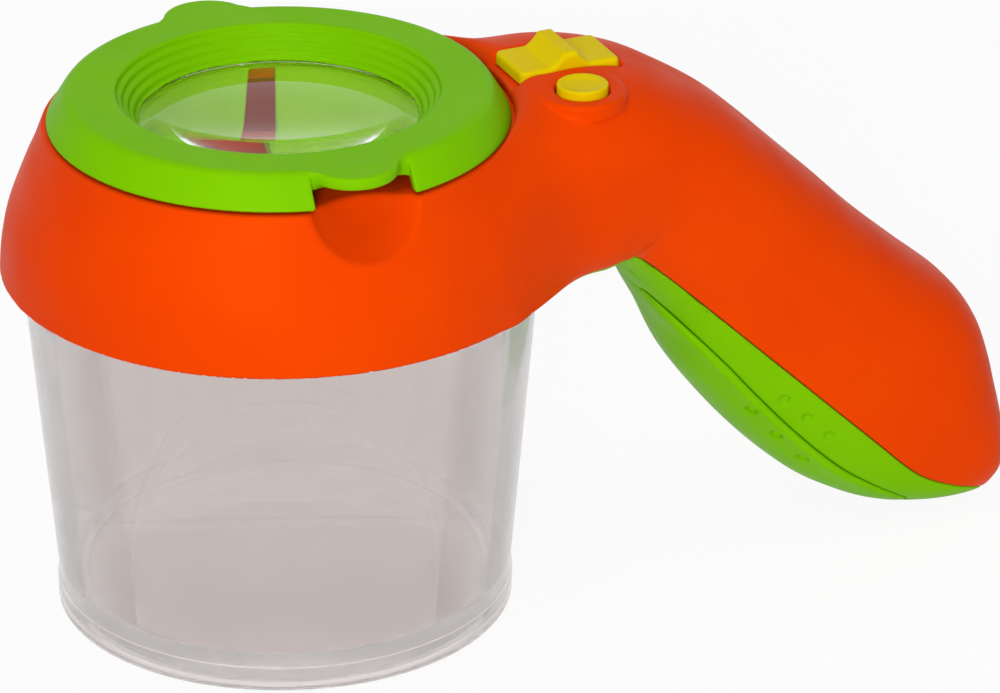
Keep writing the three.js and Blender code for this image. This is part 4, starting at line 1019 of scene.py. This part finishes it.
def button_piece():
    r, top = BUTTON_RADIUS, BUTTON_TOP
    foot = BOSS_UNDER - PART_GAP - BUTTON_FLANGE
    flange = r + BUTTON_FLANGE
    lip = foot + BUTTON_FLANGE
    profile = rounded([
        (0, 91.1), (2.2, 91.1), (2.2, foot), (flange, foot), (flange, lip), (r, lip), (r, top),
        (r * 0.82, top), (r * 0.55, top - 0.35), (0, top - 0.4),
    ], 0.6, 5)
    return turned_piece("button_cap", profile, 96, (BUTTON_X, BUTTON_Y))


finish_piece(cup_piece(), "cup", "clear_cup", cup_clear, "cup")
finish_piece(lens_piece(), "lens_lid", "lens_clear", lens_clear, "lens")
finish_piece(button_piece(), "push_button", "yellow_plastic", yellow, "push_button")

housing = field_piece("housing_body", housing_field, (-52, -52, -4), (142, 52, 101), 0.9)
finish_piece(housing, "housing", "orange_plastic", orange, "housing_top")
lower = field_piece("lower_shell", lower_shell_field, (40, -34, -4), (142, 34, 68), 0.8)
finish_piece(lower, "housing", "green_plastic", green, "handle_lower_shell")
cover = field_piece("belly_cover", cover_field, (52, -24, -4), (124, 24, 58), 0.7)
finish_piece(cover, "battery_cover", "green_plastic", green, "battery_cover")
ring = field_piece("lid_ring", ring_field, (-45, -46, 91), (45, 46, 100.2), 0.6)
finish_piece(ring, "lens_lid", "green_plastic", green, "lens_ring")
skirt = field_piece("lens_skirt", retainer_field, (-30, -30, 76.5), (30, 30, 94), 0.55)
# The retainer takes the lighter green, which is painted light that brightens it behind the lens.
finish_piece(skirt, "lens_lid", "green_plastic", painted_light_green, "lens_retainer")
knob = field_piece("switch_knob", knob_field, (41, -8, 91.8), (65, 10, 100.4), 0.4)
finish_piece(knob, "slide_knob", "yellow_plastic", yellow, "slide_knob")

# CAD pieces that stay, with their finishes
CARRIED = {
    "lid_hinge_pin": steel, "case_screw_left": steel, "case_screw_right": steel, "case_screw_tip": steel,
    "battery_cover_screw": steel, "board_screw_1": steel, "board_screw_2": steel,
    "battery_spring_a": steel, "battery_spring_b": steel,
    "battery_contact_a": brass, "battery_contact_b": brass, "battery_contact_bridge": brass,
    "slide_switch": black, "switch_lever": black, "button_switch": black, "button_plunger": black,
    "battery_holder": black, "circuit_board": board_green, "lamp": lamp_clear,
    "battery_a": jacket, "battery_b": jacket, "battery_lead_a": red_lead, "battery_lead_b": black_lead,
}
for node_name, material in CARRIED.items():
    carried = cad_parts[node_name]
    carried.data.materials.clear()
    carried.data.materials.append(material)


# Studio

def seen_directly(tree):
    """One for rays from the camera, from glossy surfaces and through clear ones."""
    path = tree.nodes.new("ShaderNodeLightPath")
    seen = path.outputs["Is Camera Ray"]
    for name in ("Is Glossy Ray", "Is Transmission Ray"):
        either = tree.nodes.new("ShaderNodeMath")
        either.operation = "MAXIMUM"
        tree.links.new(seen, either.inputs[0])
        tree.links.new(path.outputs[name], either.inputs[1])
        seen = either.outputs["Value"]
    return seen


def show_white(tree, shader_output, strength, share):
    """White to the camera and in reflections, over the lit surface, which keeps the shadow."""
    scaled = tree.nodes.new("ShaderNodeMath")
    scaled.operation = "MULTIPLY"
    scaled.inputs[1].default_value = share
    tree.links.new(seen_directly(tree), scaled.inputs[0])
    white = add_node(tree, "ShaderNodeEmission", Strength=strength)
    mix = tree.nodes.new("ShaderNodeMixShader")
    tree.links.new(scaled.outputs["Value"], mix.inputs["Fac"])
    tree.links.new(shader_output, mix.inputs[1])
    tree.links.new(white.outputs["Emission"], mix.inputs[2])
    return mix.outputs["Shader"]


def studio_floor():
    mesh = bpy.data.meshes.new("floor")
    signs = [(-1, -1), (1, -1), (1, 1), (-1, 1)]
    corners = [(a * FLOOR_HALF, b * FLOOR_HALF, -FLOOR_DROP) for a, b in signs]
    mesh.from_pydata(corners, [], [(0, 1, 2, 3)])
    floor = bpy.data.objects.new("floor", mesh)
    bpy.context.scene.collection.objects.link(floor)
    material, tree, shader = new_material("floor_white")
    shader.inputs["Base Color"].default_value = (FLOOR_GREY, FLOOR_GREY, FLOOR_GREY, 1)
    shader.inputs["Roughness"].default_value = 0.9
    output = tree.nodes["Material Output"]
    shown = show_white(tree, shader.outputs["BSDF"], 1.0, FLOOR_WHITE_SHARE)
    tree.links.new(shown, output.inputs["Surface"])
    mesh.materials.append(material)


def studio_world():
    world = bpy.data.worlds.new("studio")
    bpy.context.scene.world = world
    world.use_nodes = True
    tree = world.node_tree
    back = tree.nodes["Background"]
    back.inputs["Color"].default_value = (1, 1, 1, 1)
    back.inputs["Strength"].default_value = WORLD_LIGHT
    plain = add_node(tree, "ShaderNodeBackground", Strength=1.0)
    plain.inputs["Color"].default_value = (1, 1, 1, 1)
    mix = tree.nodes.new("ShaderNodeMixShader")
    tree.links.new(seen_directly(tree), mix.inputs["Fac"])
    tree.links.new(back.outputs["Background"], mix.inputs[1])
    tree.links.new(plain.outputs["Background"], mix.inputs[2])
    tree.links.new(mix.outputs["Shader"], tree.nodes["World Output"].inputs["Surface"])


def soft_light(name, place, aim, size, power):
    lamp = bpy.data.lights.new(name, "AREA")
    lamp.shape = "DISK"
    lamp.size = size
    lamp.energy = power
    light = bpy.data.objects.new(name, lamp)
    light.location = place
    light.rotation_euler = (Vector(aim) - Vector(place)).to_track_quat("-Z", "Y").to_euler()
    bpy.context.scene.collection.objects.link(light)


def studio_camera():
    a, e = CAMERA_AZIMUTH, CAMERA_ELEVATION
    right = Vector((math.cos(a), math.sin(a), 0))
    back = Vector((math.sin(a) * math.cos(e), -math.cos(a) * math.cos(e), math.sin(e)))
    aim = right * AIM_RIGHT + Vector((0, 0, AIM_UP))
    lens = bpy.data.cameras.new("camera")
    lens.sensor_width = SENSOR
    lens.lens = CAMERA_PIXELS * SENSOR / IMAGE_WIDTH
    camera = bpy.data.objects.new("camera", lens)
    camera.location = aim + back * CAMERA_DISTANCE
    camera.rotation_euler = back.to_track_quat("Z", "Y").to_euler()
    bpy.context.scene.collection.objects.link(camera)
    bpy.context.scene.camera = camera


studio_floor()
studio_world()
studio_camera()
for light in LIGHTS:
    soft_light(*light)
bpy.context.scene.view_settings.view_transform = "Standard"
